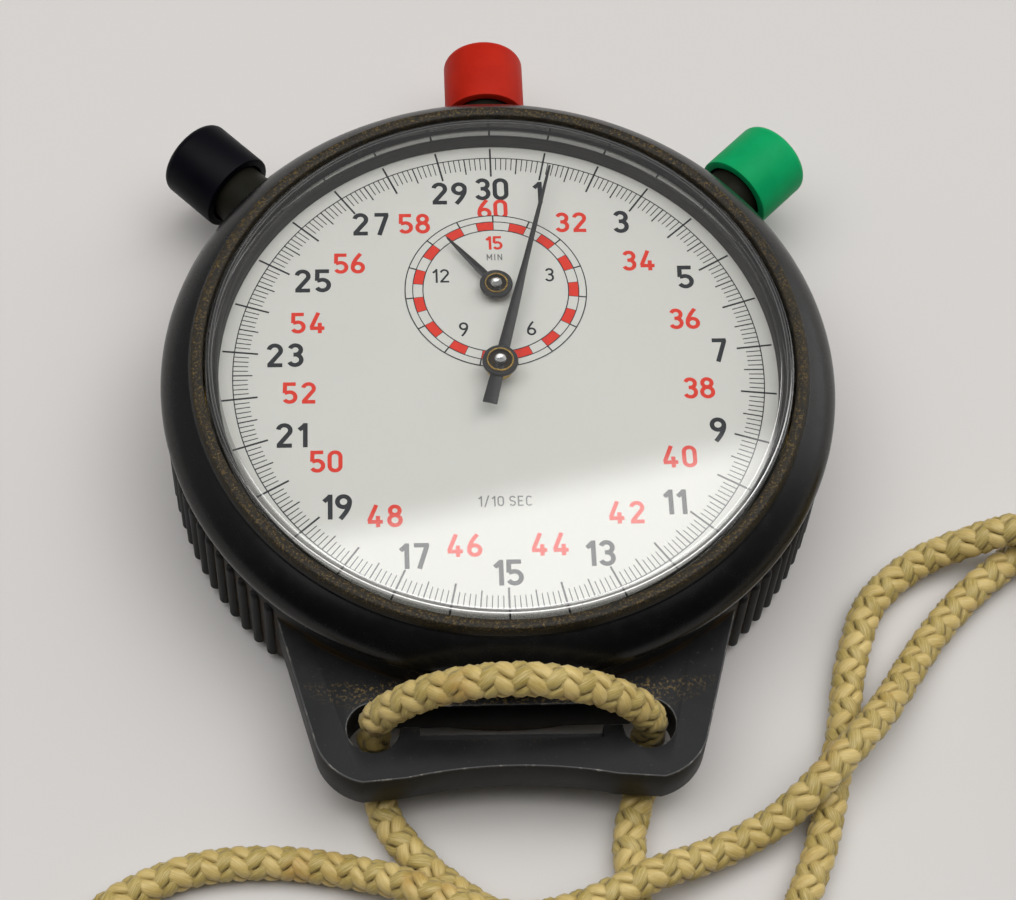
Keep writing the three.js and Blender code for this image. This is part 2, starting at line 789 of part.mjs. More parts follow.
// Out of the hank's bottom layer, to the left past the lug, and round to the knot.
const CORD_LOOP = [
  [45.8, -10.1, 1.4],
  [43.9, -11.5, 1.4],
  [41.8, -13, 1.4],
  [39.1, -15.2, 1.4],
  [36.3, -18, 1.4],
  [33.7, -21.3, 1.7],
  [31.1, -25.2, 2.9],
  [28.8, -28.3, 4],
  [26.3, -31, 4.4],
  [23.6, -33.6, 3.9],
  [20.9, -35.6, 2.7],
  [17.5, -37.4, 2.2],
  [14.2, -38.9, 2.8],
  [10.9, -40.4, 4.1],
  [8.3, -41.7, 4.35],
  [4.8, -43.1, 4.3],
  [1, -43.9, 4.35],
  [-3, -43.2, 4.2],
  [-6.4, -41.6, 3.7],
  [-9.4, -40, 2.7],
  [-12.4, -38.9, 1.7],
  [-15.9, -38.1, 1.4],
  [-20.1, -37.8, 1.4],
  [-24.3, -38.2, 1.4],
  [-28.1, -39.5, 1.4],
  [-31.2, -41.3, 1.4],
  [-32.5, -42.8, 1.4],
  [-33.2, -45.65, 1.4],
  [-32.45, -48.5, 1.4],
  [-30.35, -50.6, 1.4],
  [-27.6, -51.35, 1.4],
  [-24, -51.1, 1.4],
  [-20.5, -50.5, 1.45],
  [-18, -50.15, 1.9],
  [-15.95, -49.95, 2.4],
];
// From the knot, up through the right hole, over the lug and down into the left hole.
const CORD_BACK = [
  [-9.05, -49.55, 2.4],
  [-7, -49.65, 1.9],
  [-4.5, -49.95, 1.45],
  [-1, -50.6, 1.4],
  [2.4, -50.95, 1.4],
  [5.5, -50.5, 1.4],
  [7.9, -48.8, 1.4],
  [9.1, -46.3, 1.4],
  [9.35, -43.5, 1.4],
  [9.3, -41.4, 1.4],
  [9.1, -38.4, 1.4],
  [9.3, -35.8, 1.4],
  [9.8, -34.1, 1.4],
  [10.25, -32.5, 1.7],
  [10.5, -31.1, 2.45],
  [10.65, -30, 3.6],
  [10.8, -29.35, 5],
  [10.85, -29.15, 6.6],
  [10.6, -29.2, 8.3],
  [9.4, -29.25, 10.6],
  [6.6, -29.3, 13.4],
  [3.7, -29.3, 14.9],
  [0.6, -29.3, 15.6],
  [-2.6, -29.3, 15.4],
  [-5.7, -29.3, 14.2],
  [-8.6, -29.25, 11.6],
  [-10.3, -29.15, 8.8],
  [-10.65, -29, 6.9],
];
add("lanyard_out", tube(CORD_OUT, CORD_R, 26), MATERIALS.cord);
add("lanyard_loop", tube(CORD_LOOP, CORD_R, 32), MATERIALS.cord);
add("lanyard_back", tube(CORD_BACK, CORD_R, 22), MATERIALS.cord);

// The wound rest of the cord: an oblong ring with round ends.
function hank() {
  const { x, high, low, inner, outer, height } = HANK;
  const oblong = (r) => {
    const side = (from, y) =>
      Array.from({ length: 13 }, (_, i) => {
        const [dx, dy] = polar(r, from + 15 * i);
        return [x + dx, y + dy];
      });
    return [...side(0, high), ...side(180, low)];
  };
  return plate(oblong(outer), [0, height], [oblong(inner).reverse()]);
}
add("lanyard_hank", hank(), MATERIALS.cord);

function knot() {
  const { x, y, r, half, turn } = KNOT;
  const outline = [[0, -half], [1.6, -half], [r, -half / 2], [r, half / 2], [1.6, half], [0, half]];
  const made = turned(outline, 12);
  made.rotateX(-Math.PI / 2);
  return made.rotateZ(turn * DEG).translate(x, y, r);
}
add("lanyard_knot", knot(), MATERIALS.cord);

export default stopwatch;
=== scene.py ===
import json
import math
import random

import bmesh
import bpy
from mathutils import Matrix, Vector


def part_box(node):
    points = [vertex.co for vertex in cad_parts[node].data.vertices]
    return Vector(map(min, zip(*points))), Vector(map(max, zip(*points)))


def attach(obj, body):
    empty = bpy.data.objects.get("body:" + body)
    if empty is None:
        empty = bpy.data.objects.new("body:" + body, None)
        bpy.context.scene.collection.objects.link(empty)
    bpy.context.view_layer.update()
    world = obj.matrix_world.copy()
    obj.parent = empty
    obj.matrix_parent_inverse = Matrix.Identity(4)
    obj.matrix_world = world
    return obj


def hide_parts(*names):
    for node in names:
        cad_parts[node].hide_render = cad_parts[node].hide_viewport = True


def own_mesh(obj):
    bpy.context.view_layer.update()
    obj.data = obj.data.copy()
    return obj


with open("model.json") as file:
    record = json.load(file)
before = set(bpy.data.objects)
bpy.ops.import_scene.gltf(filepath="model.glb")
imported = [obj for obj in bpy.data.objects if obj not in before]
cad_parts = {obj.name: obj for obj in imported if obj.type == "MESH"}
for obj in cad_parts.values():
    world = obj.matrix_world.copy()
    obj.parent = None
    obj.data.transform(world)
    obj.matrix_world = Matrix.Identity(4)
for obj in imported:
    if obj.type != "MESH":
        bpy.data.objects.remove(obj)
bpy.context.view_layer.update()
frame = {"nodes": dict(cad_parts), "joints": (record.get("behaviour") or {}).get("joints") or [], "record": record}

MM = 0.001
RECORD = frame["record"]

# ---- places and sizes read from the frame ----
DIAL_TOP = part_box("dial")[1].z
JOINTS = {joint["name"]: joint for joint in frame["joints"]}
MINUTE_AXIS = Vector(JOINTS["minutes_turn"]["pos_m"])
BUTTON_Z = (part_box("red_crown_cap")[0].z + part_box("red_crown_cap")[1].z) / 2

CASE_R = 26.9 * MM
CASE_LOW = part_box("case_body")[0].z
RIB_COUNT = 110
RIB_TOP = 9.0 * MM
RIB_R = 0.52 * MM
RIB_CREST = 27.32 * MM
RIB_GAP = math.radians(8)
RIM_INNER_R = 22.6 * MM
BUTTONS = {
    "red_crown_cap": {"body": "crown", "angle": 90, "mouth": 30.1, "end": 36.3},
    "green_button_cap": {"body": "green_button", "angle": 45, "mouth": 30.4, "end": 36.3},
    "black_button_cap": {"body": "black_button", "angle": 134.5, "mouth": 31.1, "end": 36.9},
}
LUG_LOW, LUG_TOP = 4 * MM, 8 * MM
LUG_HOLE = Vector((10.65 * MM, -29.58 * MM))
LUG_HOLE_R = 2.05 * MM
SLOT_LOW, SLOT_HIGH = -29.65 * MM, -27.9 * MM
LEDGE_HALF, LEDGE_LOW, LEDGE_Z = 7.1 * MM, -30.7 * MM, 6.3 * MM
CORD_D = 2.8 * MM


# ---- camera ----
def make_camera():
    elevation, azimuth, roll = math.radians(59.438), math.radians(-5.956), math.radians(4.333)
    target = Vector((0.411, -7.318, 12.0)) * MM
    distance = 212.32 * MM
    back = Vector((
        math.cos(elevation) * math.sin(azimuth),
        -math.cos(elevation) * math.cos(azimuth),
        math.sin(elevation),
    ))
    right = (-back).cross(Vector((0, 0, 1))).normalized()
    up = right.cross(-back)
    image_x = math.cos(roll) * right + math.sin(roll) * up
    image_y = -math.sin(roll) * right + math.cos(roll) * up
    camera = bpy.data.objects.new("camera", bpy.data.cameras.new("camera"))
    bpy.context.scene.collection.objects.link(camera)
    turn = Matrix((image_x, image_y, back)).transposed().to_4x4()
    camera.matrix_world = Matrix.Translation(target + distance * back) @ turn
    camera.data.sensor_width = 36
    camera.data.lens = 93.95
    camera.data.clip_start = 0.01
    camera.data.clip_end = 20
    bpy.context.scene.camera = camera


make_camera()


# ---- mesh helpers ----
def new_object(name, mesh):
    made = bpy.data.objects.new(name, mesh)
    bpy.context.scene.collection.objects.link(made)
    return made


def object_from(name, bm, materials, sharp=35):
    """Makes the object, smooth but with sharp edges where faces meet at more than that many degrees."""
    bm.normal_update()
    for face in bm.faces:
        face.smooth = True
    for edge in bm.edges:
        if len(edge.link_faces) == 2 and edge.calc_face_angle(0) > math.radians(sharp):
            edge.smooth = False
    mesh = bpy.data.meshes.new(name)
    bm.to_mesh(mesh)
    bm.free()
    for material in materials:
        mesh.materials.append(material)
    return new_object(name, mesh)


def lathe(bm, profile, segments, matrix=Matrix()):
    """Turns a closed outline of (radius, z) about Z. Points on the axis are shared."""
    rows = []
    for r, z in profile:
        if r < 1e-9:
            rows.append([bm.verts.new(matrix @ Vector((0, 0, z)))])
            continue
        ring = []
        for i in range(segments):
            angle = math.tau * i / segments
            ring.append(bm.verts.new(matrix @ Vector((r * math.cos(angle), r * math.sin(angle), z))))
        rows.append(ring)
    for low, high in zip(rows, rows[1:] + rows[:1]):
        if len(low) == 1 and len(high) == 1:
            continue
        for i in range(segments):
            j = (i + 1) % segments
            corners = [low[i % len(low)], low[j % len(low)], high[j % len(high)], high[i % len(high)]]
            unique = []
            for corner in corners:
                if corner not in unique:
                    unique.append(corner)
            bm.faces.new(unique)


def arc(centre, r, start, end, steps):
    """Points on an arc between two angles in degrees, as (x, y) pairs."""
    points = []
    for i in range(steps + 1):
        angle = math.radians(start + (end - start) * i / steps)
        points.append((centre[0] + r * math.cos(angle), centre[1] + r * math.sin(angle)))
    return points


def join_rings(bm, rings):
    """Joins each closed ring of corners to the next with four-sided faces."""
    made = []
    for low, high in zip(rings, rings[1:]):
        for i in range(len(low)):
            j = (i + 1) % len(low)
            made.append(bm.faces.new((low[i], low[j], high[j], high[i])))
    return made


def close_ends(bm, rings):
    bm.faces.new(list(reversed(rings[0])))
    bm.faces.new(rings[-1])


def prism(bm, outline, low, high, holes=()):
    """A flat plate between two heights, from an outline and holes of (x, y) points."""
    loops = [outline, *holes]
    bottom_edges, side_pairs = [], []
    for loop in loops:
        low_ring = [bm.verts.new((x, y, low)) for x, y in loop]
        high_ring = [bm.verts.new((x, y, high)) for x, y in loop]
        side_pairs.append((low_ring, high_ring))
        for i in range(len(loop)):
            bottom_edges.append(bm.edges.new((low_ring[i], low_ring[(i + 1) % len(loop)])))
    filled = bmesh.ops.triangle_fill(bm, edges=bottom_edges, use_beauty=True, use_dissolve=False)
    partner = {}
    for low_ring, high_ring in side_pairs:
        partner.update(zip(low_ring, high_ring))
    caps = [item for item in filled["geom"] if isinstance(item, bmesh.types.BMFace)]
    made = list(caps)
    for face in caps:
        made.append(bm.faces.new([partner[v] for v in reversed(face.verts)]))
    for rings in side_pairs:
        made += join_rings(bm, rings)
    bmesh.ops.recalc_face_normals(bm, faces=made)


def box_on(bm, centre, direction, length, width, low, high):
    """A flat bar lying along a direction in the XY plane."""
    along = Vector(direction).normalized() * length / 2
    across = Vector((-along.y, along.x)).normalized() * width / 2
    middle = Vector(centre)
    corners = [
        middle - along - across, middle + along - across,
        middle + along + across, middle - along + across,
    ]
    rings = [[bm.verts.new((c.x, c.y, z)) for c in corners] for z in (low, high)]
    close_ends(bm, rings)
    join_rings(bm, rings)


def turned(name, profile, segments, materials, sharp=35, matrix=Matrix()):
    """A piece turned from a closed outline of (radius, z) in millimetres."""
    bm = bmesh.new()
    lathe(bm, [(r * MM, z * MM) for r, z in profile], segments, matrix)
    bmesh.ops.recalc_face_normals(bm, faces=bm.faces)
    return object_from(name, bm, [MATERIALS[key] for key in materials], sharp)


# ---- material helpers ----
class Nodes:
    """A short way to build a procedural material."""

    def __init__(self, name, **sockets):
        self.material = bpy.data.materials.new(name)
        self.material.use_nodes = True
        self.tree = self.material.node_tree
        self.shader = self.tree.nodes["Principled BSDF"]
        for socket, value in sockets.items():
            self.shader.inputs[socket.replace("_", " ").title().replace("Ior", "IOR")].default_value = value

    def add(self, kind, inputs=None, **settings):
        node = self.tree.nodes.new(kind)
        for key, value in settings.items():
            setattr(node, key, value)
        for key, value in (inputs or {}).items():
            if isinstance(value, bpy.types.NodeSocket):
                self.tree.links.new(value, node.inputs[key])
            else:
                node.inputs[key].default_value = value
        return node

    def place(self):
        return self.add("ShaderNodeTexCoord").outputs["Object"]

    def noise(self, scale, detail=3, roughness=0.5, vector=None):
        inputs = {"Scale": scale, "Detail": detail, "Roughness": roughness}
        inputs["Vector"] = vector or self.place()
        return self.add("ShaderNodeTexNoise", inputs).outputs["Fac"]

    def ramp(self, factor, low, high, to_low=0.0, to_high=1.0, **settings):
        inputs = {"Value": factor, "From Min": low, "From Max": high, "To Min": to_low, "To Max": to_high}
        return self.add("ShaderNodeMapRange", inputs, **settings).outputs["Result"]

    def maths(self, operation, a, b=0.0):
        return self.add("ShaderNodeMath", {0: a, 1: b}, operation=operation).outputs[0]

    def times(self, a, b):
        return self.maths("MULTIPLY", a, b)

    def mix(self, factor, first, second):
        node = self.add("ShaderNodeMix", {"Factor": factor}, data_type="RGBA")
        for socket, value in ((node.inputs[6], first), (node.inputs[7], second)):
            if isinstance(value, bpy.types.NodeSocket):
                self.tree.links.new(value, socket)
            else:
                socket.default_value = (*value, 1)
        return node.outputs[2]

    def parts(self):
        """The X, Y and Z of the place on the object, and the distance from the Z axis."""
        split = self.add("ShaderNodeSeparateXYZ", {0: self.place()})
        x, y, z = split.outputs
        square = self.maths("ADD", self.times(x, x), self.times(y, y))
        return x, y, z, self.maths("SQRT", square)

    def set(self, **links):
        for socket, value in links.items():
            name = socket.replace("_", " ").title()
            self.tree.links.new(value, self.shader.inputs[name])
        return self

    def bump(self, height, strength, distance):
        node = self.add("ShaderNodeBump", {"Height": height, "Strength": strength, "Distance": distance})
        return self.set(normal=node.outputs["Normal"])


def colour(value):
    return (*value, 1)


def dusty_band(nodes, r, centre, half, patchy):
    """How much dust lies in a ring of that radius, from 0 to 1."""
    away = nodes.maths("ABSOLUTE", nodes.maths("SUBTRACT", r, centre))
    inside = nodes.ramp(away, half, half * 0.35)
    return nodes.times(inside, nodes.ramp(patchy, 0.52, 0.68))


def case_material():
    nodes = Nodes("case_black", specular_ior_level=0.14)
    _, y, z, r = nodes.parts()
    cloud = nodes.noise(220, 5, 0.6)
    speck = nodes.noise(2600, 2, 0.7)
    base = nodes.mix(nodes.ramp(cloud, 0.35, 0.7), (0.010, 0.0105, 0.011), (0.019, 0.0195, 0.021))
    base = nodes.mix(nodes.ramp(speck, 0.66, 0.76, 0, 0.4), base, (0.07, 0.068, 0.06))
    valley = nodes.ramp(r, 27.12 * MM, 26.9 * MM)
    low = nodes.ramp(z, 9.1 * MM, 8.6 * MM)
    dirt = nodes.ramp(nodes.noise(500, 4), 0.3, 0.62)
    grime = nodes.times(nodes.times(valley, low), dirt)
    outer = nodes.ramp(r, 26.2 * MM, 26.6 * MM)
    base = nodes.mix(nodes.times(grime, outer), base, (0.035, 0.022, 0.009))
    on_lug = nodes.ramp(y, -25.5 * MM, -26.2 * MM)
    corner = nodes.times(nodes.ramp(r, 31.2 * MM, 28.2 * MM), on_lug)
    gold = nodes.times(corner, nodes.ramp(nodes.noise(3400, 3, 0.75), 0.52, 0.64))
    top = nodes.ramp(z, 7.7 * MM, 7.95 * MM)
    gold = nodes.times(gold, top)
    base = nodes.mix(gold, base, (0.19, 0.13, 0.045))
    nodes.set(base_color=base, roughness=nodes.ramp(cloud, 0.3, 0.7, 0.42, 0.56))
    return nodes.bump(nodes.noise(1800, 4, 0.6), 0.2, 0.03 * MM).material


def worn_edge_material():
    nodes = Nodes("case_worn_edge", specular_ior_level=0.5)
    chips = nodes.ramp(nodes.noise(900, 5, 0.7), 0.52, 0.62)
    base = nodes.mix(chips, (0.01, 0.0105, 0.012), (0.12, 0.115, 0.105))
    nodes.set(base_color=base, metallic=nodes.ramp(chips, 0, 1, 0.0, 0.4))
    nodes.shader.inputs["Roughness"].default_value = 0.36
    return nodes.bump(nodes.noise(1400, 4), 0.4, 0.05 * MM).material


def bezel_material():
    nodes = Nodes("bezel_black", specular_ior_level=0.3)
    _, _, z, r = nodes.parts()
    patchy = nodes.noise(700, 5, 0.7)
    fine = nodes.noise(5200, 3, 0.8)
    cloud = nodes.ramp(nodes.noise(120, 4), 0.35, 0.7)
    base = nodes.mix(cloud, (0.0022, 0.0023, 0.0024), (0.0042, 0.0043, 0.0044))
    dust = dusty_band(nodes, r, 24.45 * MM, 0.75 * MM, fine)
    high = nodes.ramp(z, 14.2 * MM, 14.7 * MM)
    lip = nodes.times(nodes.ramp(r, 25.15 * MM, 24.95 * MM), high)
    soiled = nodes.mix(nodes.ramp(patchy, 0.35, 0.65), (0.005, 0.0048, 0.004), (0.016, 0.012, 0.0055))
    base = nodes.mix(lip, base, nodes.mix(dust, soiled, (0.15, 0.095, 0.022)))
    stray = nodes.ramp(nodes.noise(5200, 2, 0.8), 0.78, 0.82, 0, 0.3)
    base = nodes.mix(stray, base, (0.12, 0.11, 0.09))
    rough = nodes.maths("ADD", nodes.ramp(patchy, 0.3, 0.7, 0.2, 0.3), nodes.ramp(lip, 0, 1, 0, 0.35))
    nodes.set(base_color=base, roughness=rough)
    return nodes.bump(nodes.noise(2600, 3), 0.1, 0.02 * MM).material


def plain_ink(name, value):
    nodes = Nodes(name, roughness=0.6, specular_ior_level=0.15)
    grain = nodes.ramp(nodes.noise(2500, 3), 0.3, 0.7, 0, 0.35)
    lighter = tuple(min(1, c * 1.3 + 0.006) for c in value)
    return nodes.set(base_color=nodes.mix(grain, value, lighter)).material


def dial_material():
    nodes = Nodes("dial_white", roughness=0.5, specular_ior_level=0.15)
    fleck = nodes.ramp(nodes.noise(900, 3, 0.7), 0.77, 0.83, 0, 0.5)
    base = nodes.mix(nodes.ramp(nodes.noise(60, 3), 0.3, 0.7), (0.635, 0.63, 0.605), (0.655, 0.65, 0.625))
    return nodes.set(base_color=nodes.mix(fleck, base, (0.4, 0.38, 0.33))).material


def cap_material(name, value, darker):
    nodes = Nodes(name, specular_ior_level=0.07)
    mottled = nodes.noise(260, 4, 0.6)
    scuff = nodes.ramp(nodes.noise(1500, 4, 0.75), 0.66, 0.76, 0, 0.45)
    base = nodes.mix(nodes.ramp(mottled, 0.35, 0.7), darker, value)
    paler = tuple(min(1, c * 1.35 + 0.03) for c in value)
    base = nodes.mix(scuff, base, paler)
    nodes.set(base_color=base, roughness=nodes.ramp(mottled, 0.3, 0.7, 0.38, 0.5))
    return nodes.bump(nodes.noise(1900, 3), 0.14, 0.03 * MM).material


def hand_material():
    """Black lacquer with fine scratches and dust."""
    nodes = Nodes("hand_black", specular_ior_level=0.4)
    dust = nodes.ramp(nodes.noise(3600, 4, 0.8), 0.62, 0.72, 0, 0.6)
    nodes.set(base_color=nodes.mix(dust, (0.0045, 0.0045, 0.0065), (0.17, 0.17, 0.18)))
    nodes.set(roughness=nodes.ramp(dust, 0, 0.6, 0.34, 0.6))
    return nodes.bump(nodes.noise(2400, 3), 0.15, 0.02 * MM).material


def metal_material(name, value, roughness, brushed=900):
    nodes = Nodes(name, metallic=1.0)
    stretched = nodes.add("ShaderNodeMapping", {"Vector": nodes.place(), "Scale": (1, 1, 12)}).outputs[0]
    streaks = nodes.noise(brushed, 4, 0.65, stretched)
    darker = tuple(c * 0.72 for c in value)
    nodes.set(base_color=nodes.mix(nodes.ramp(streaks, 0.3, 0.7), darker, value))
    nodes.set(roughness=nodes.ramp(streaks, 0.3, 0.7, roughness * 0.8, roughness * 1.25))
    return nodes.bump(streaks, 0.1, 0.01 * MM).material


def cord_material():
    nodes = Nodes(
        "cord_straw", roughness=0.46, specular_ior_level=0.45, sheen_weight=0.1, sheen_roughness=0.5,
    )
    crest = nodes.add("ShaderNodeAttribute", attribute_name="crest").outputs["Fac"]
    along = nodes.add("ShaderNodeUVMap").outputs[0]
    stretched = nodes.add("ShaderNodeMapping", {"Vector": along, "Scale": (46, 2.2, 1)}).outputs[0]
    fibres = nodes.noise(1, 3, 0.6, stretched)
    patches = nodes.noise(260, 4, 0.55)
    straw = nodes.mix(nodes.ramp(patches, 0.36, 0.66), (0.42, 0.30, 0.075), (0.60, 0.455, 0.165))
    u = nodes.add("ShaderNodeSeparateXYZ", {0: along}).outputs[0]
    other_way = nodes.ramp(u, 3.95, 4.05, 0, 0.62)
    straw = nodes.mix(other_way, straw, (0.27, 0.205, 0.035))
    straw = nodes.mix(nodes.ramp(fibres, 0.42, 0.72, 0, 0.6), straw, (0.74, 0.60, 0.29))
    stain = nodes.ramp(nodes.noise(210, 4, 0.6), 0.58, 0.72, 0, 0.5)
    straw = nodes.mix(stain, straw, (0.44, 0.235, 0.05))
    # Painted shade: where crest is low, on the strands' undersides and in the crevices between them, the straw
    # gives way to this dark colour.
    crevice_shade = nodes.mix(nodes.ramp(patches, 0.3, 0.7), (0.13, 0.08, 0.013), (0.2, 0.145, 0.03))
    base = nodes.mix(nodes.ramp(crest, 0.15, 0.65), crevice_shade, straw)
    x, y, z, _ = nodes.parts()
    # Painted shade: the cord is darkened where it runs down into the lug holes, under the lug.
    lug_shade_depth = nodes.ramp(z, 8.6 * MM, 6.0 * MM)
    lug_shade_depth = nodes.times(lug_shade_depth, nodes.ramp(nodes.maths("ABSOLUTE", x), 16 * MM, 14 * MM))
    lug_hole_shade = nodes.times(nodes.ramp(y, -32.5 * MM, -30.5 * MM), lug_shade_depth)
    base = nodes.mix(nodes.times(lug_hole_shade, 0.7), base, (0.13, 0.085, 0.02))
    nodes.set(base_color=base)
    return nodes.bump(fibres, 0.6, 0.05 * MM).material


def glass_material(name, strength, stripes):
    """Clear acrylic: it shines by its angle, in fine rings if it has stripes, and lets the rest through."""
    nodes = Nodes(name)
    tree = nodes.tree
    tint = (0.62, 0.62, 0.61) if stripes else (0.985, 0.99, 0.985)
    clear = nodes.add("ShaderNodeBsdfTransparent", {"Color": colour(tint)})
    shine = nodes.add("ShaderNodeBsdfGlossy", {"Color": colour((1, 1, 1)), "Roughness": 0.03})
    fresnel = nodes.add("ShaderNodeFresnel", {"IOR": 1.49}).outputs[0]
    outside = nodes.maths("SUBTRACT", 1.0, nodes.add("ShaderNodeNewGeometry").outputs["Backfacing"])
    amount = nodes.times(nodes.times(fresnel, outside), strength)
    if stripes:
        r = nodes.parts()[3]
        rings = nodes.noise(5200, 2, 0.7, nodes.add("ShaderNodeCombineXYZ", {0: r}).outputs[0])
        amount = nodes.maths("ADD", amount, nodes.ramp(rings, 0.46, 0.58, 0.0, stripes))
    amount = nodes.maths("MINIMUM", amount, 1.0)
    mixed = nodes.add("ShaderNodeMixShader", {0: amount, 1: clear.outputs[0], 2: shine.outputs[0]})
    tree.links.new(mixed.outputs[0], tree.nodes["Material Output"].inputs["Surface"])
    return nodes.material


MATERIALS = {
    "case_black": case_material(),
    "worn_edge": worn_edge_material(),
    "bezel_black": bezel_material(),
    "crystal": glass_material("crystal", 2.5, 0),
    "crystal_rim": glass_material("crystal_rim", 1.0, 0.34),
    "reflector": cap_material("reflector", (0.03, 0.03, 0.028), (0.018, 0.018, 0.017)),
    "dial_white": dial_material(),
    "print_black": plain_ink("print_black", (0.005, 0.008, 0.013)),
    "print_grey": plain_ink("print_grey", (0.13, 0.13, 0.14)),
    "print_red": plain_ink("print_red", (0.68, 0.024, 0.007)),
    "red_plastic": cap_material("red_plastic", (0.46, 0.018, 0.006), (0.38, 0.012, 0.004)),
    "green_plastic": cap_material("green_plastic", (0.003, 0.34, 0.115), (0.002, 0.28, 0.09)),
    "black_plastic": cap_material("black_plastic", (0.0022, 0.002, 0.0045), (0.0012, 0.0012, 0.003)),
    "hand_black": hand_material(),
    "neck": cap_material("neck", (0.014, 0.0135, 0.009), (0.008, 0.008, 0.006)),
    "recess": cap_material("recess", (0.03, 0.018, 0.006), (0.012, 0.008, 0.003)),
    "brass": metal_material("brass", (0.66, 0.43, 0.10), 0.24),
    "steel": metal_material("steel", (0.6, 0.6, 0.61), 0.25),
    "nickel": metal_material("nickel", (0.62, 0.6, 0.55), 0.34),
    "blue_steel": metal_material("blue_steel", (0.03, 0.05, 0.2), 0.24),
    "cord_straw": cord_material(),
}


def dress_cad_nodes():
    """Gives every carried-over CAD node the procedural material of its slot."""
    for part in RECORD["subparts"]:
        node = frame["nodes"][part["node"]]
        material = MATERIALS[part["material_slot"]]
        if not node.material_slots:
            node.data.materials.append(material)
        for held in node.material_slots:
            held.link = "OBJECT"
            held.material = material


dress_cad_nodes()


def settle(piece, body, slot, *nodes):
    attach(piece, body)
    if nodes:
        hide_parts(*nodes)
    return piece


# ---- the neck cord ----
# The routes are in millimetres. A point without a height is where the cord lies on the table.
# From the left lug hole, over the table and to the right, into the top layer of the hank.
CORD_OUT = [
    (-10.65, -29.05, 6.5), (-10.65, -29.3, 5), (-10.6, -30, 3.6), (-10.45, -31.1, 2.45),
    (-10.25, -32.5, 1.7), (-9.9, -34.1), (-9, -35.8), (-7.6, -37.6), (-5.9, -39.4), (-3.4, -41.4),
    (-0.2, -43.5), (3.2, -45.6, 2.1), (6.2, -47.2, 3.7), (9.4, -48.3, 4.5), (12.8, -48.6, 3.7),
    (16, -47.8, 2.2), (19, -45.9), (21.6, -43), (23.8, -38.5), (24.9, -35.2), (25.9, -31.4),
    (27, -27.2), (27.7, -23.6), (28.7, -20.1), (30.2, -16.6), (32.8, -13.9), (35.8, -12.2, 1.9),
    (39, -11.5, 3.1), (42.1, -11.05, 4.2), (43.6, -11.1, 4.3), (45.5, -11.7, 4.3),
]
# Out of the hank's bottom layer, to the left past the lug, and round to the knot.
CORD_LOOP = [
    (45.8, -10.1), (43.9, -11.5), (41.8, -13), (39.1, -15.2), (36.3, -18), (33.7, -21.3, 1.7),
    (31.1, -25.2, 2.9), (28.8, -28.3, 4), (26.3, -31, 4.4), (23.6, -33.6, 3.9), (20.9, -35.6, 2.7),
    (17.5, -37.4, 2.2), (14.2, -38.9, 2.8), (10.9, -40.4, 4.1), (8.3, -41.7, 4.35),
    (4.8, -43.1, 4.3), (1, -43.9, 4.35), (-3, -43.2, 4.2), (-6.4, -41.6, 3.7), (-9.4, -40, 2.7),
    (-12.4, -38.9, 1.7), (-15.9, -38.1), (-20.1, -37.8), (-24.3, -38.2), (-28.1, -39.5),
    (-31.2, -41.3), (-32.5, -42.8), (-33.2, -45.65), (-32.45, -48.5), (-30.35, -50.6),
    (-27.6, -51.35), (-24, -51.1), (-20.5, -50.5, 1.45), (-18, -50.15, 1.9), (-15.95, -49.95, 2.4),
]
# From the knot, up through the right hole, over the lug and down into the left hole.
CORD_BACK = [
    (-9.05, -49.55, 2.4), (-7, -49.65, 1.9), (-4.5, -49.95, 1.45), (-1, -50.6), (2.4, -50.95),
    (5.5, -50.5), (7.9, -48.8), (9.1, -46.3), (9.35, -43.5), (9.3, -41.4), (9.1, -38.4),
    (9.3, -35.8), (9.8, -34.1), (10.25, -32.5, 1.7), (10.5, -31.1, 2.45), (10.65, -30, 3.6),
    (10.8, -29.35, 5), (10.85, -29.15, 6.6), (10.6, -29.2, 8.3), (9.4, -29.25, 10.6),
    (6.6, -29.3, 13.4), (3.7, -29.3, 14.9), (0.6, -29.3, 15.6), (-2.6, -29.3, 15.4),
    (-5.7, -29.3, 14.2), (-8.6, -29.25, 11.6), (-10.3, -29.15, 8.8), (-10.65, -29, 6.9),
]
HANK_LOW, HANK_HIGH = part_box("lanyard_hank")
HANK_X = (HANK_LOW.x + HANK_HIGH.x) / 2
HANK_OUTER = (HANK_HIGH.x - HANK_LOW.x) / 2 - CORD_D / 2
HANK_ENDS = (HANK_HIGH.y - HANK_OUTER - CORD_D / 2, HANK_LOW.y + HANK_OUTER + CORD_D / 2)
KNOT_CENTRE = (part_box("lanyard_knot")[0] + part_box("lanyard_knot")[1]) / 2
SEAM = Vector((-10.65, -29.02, 6.7)) * MM


def in_metres(route):
    return [Vector((*point, CORD_D / 2 / MM)[:3]) * MM for point in route]


def half_ring(x, y, r, start, end, z, steps=8):
    return [Vector((*point, z)) for point in arc((x, y), r, start, end, steps)]


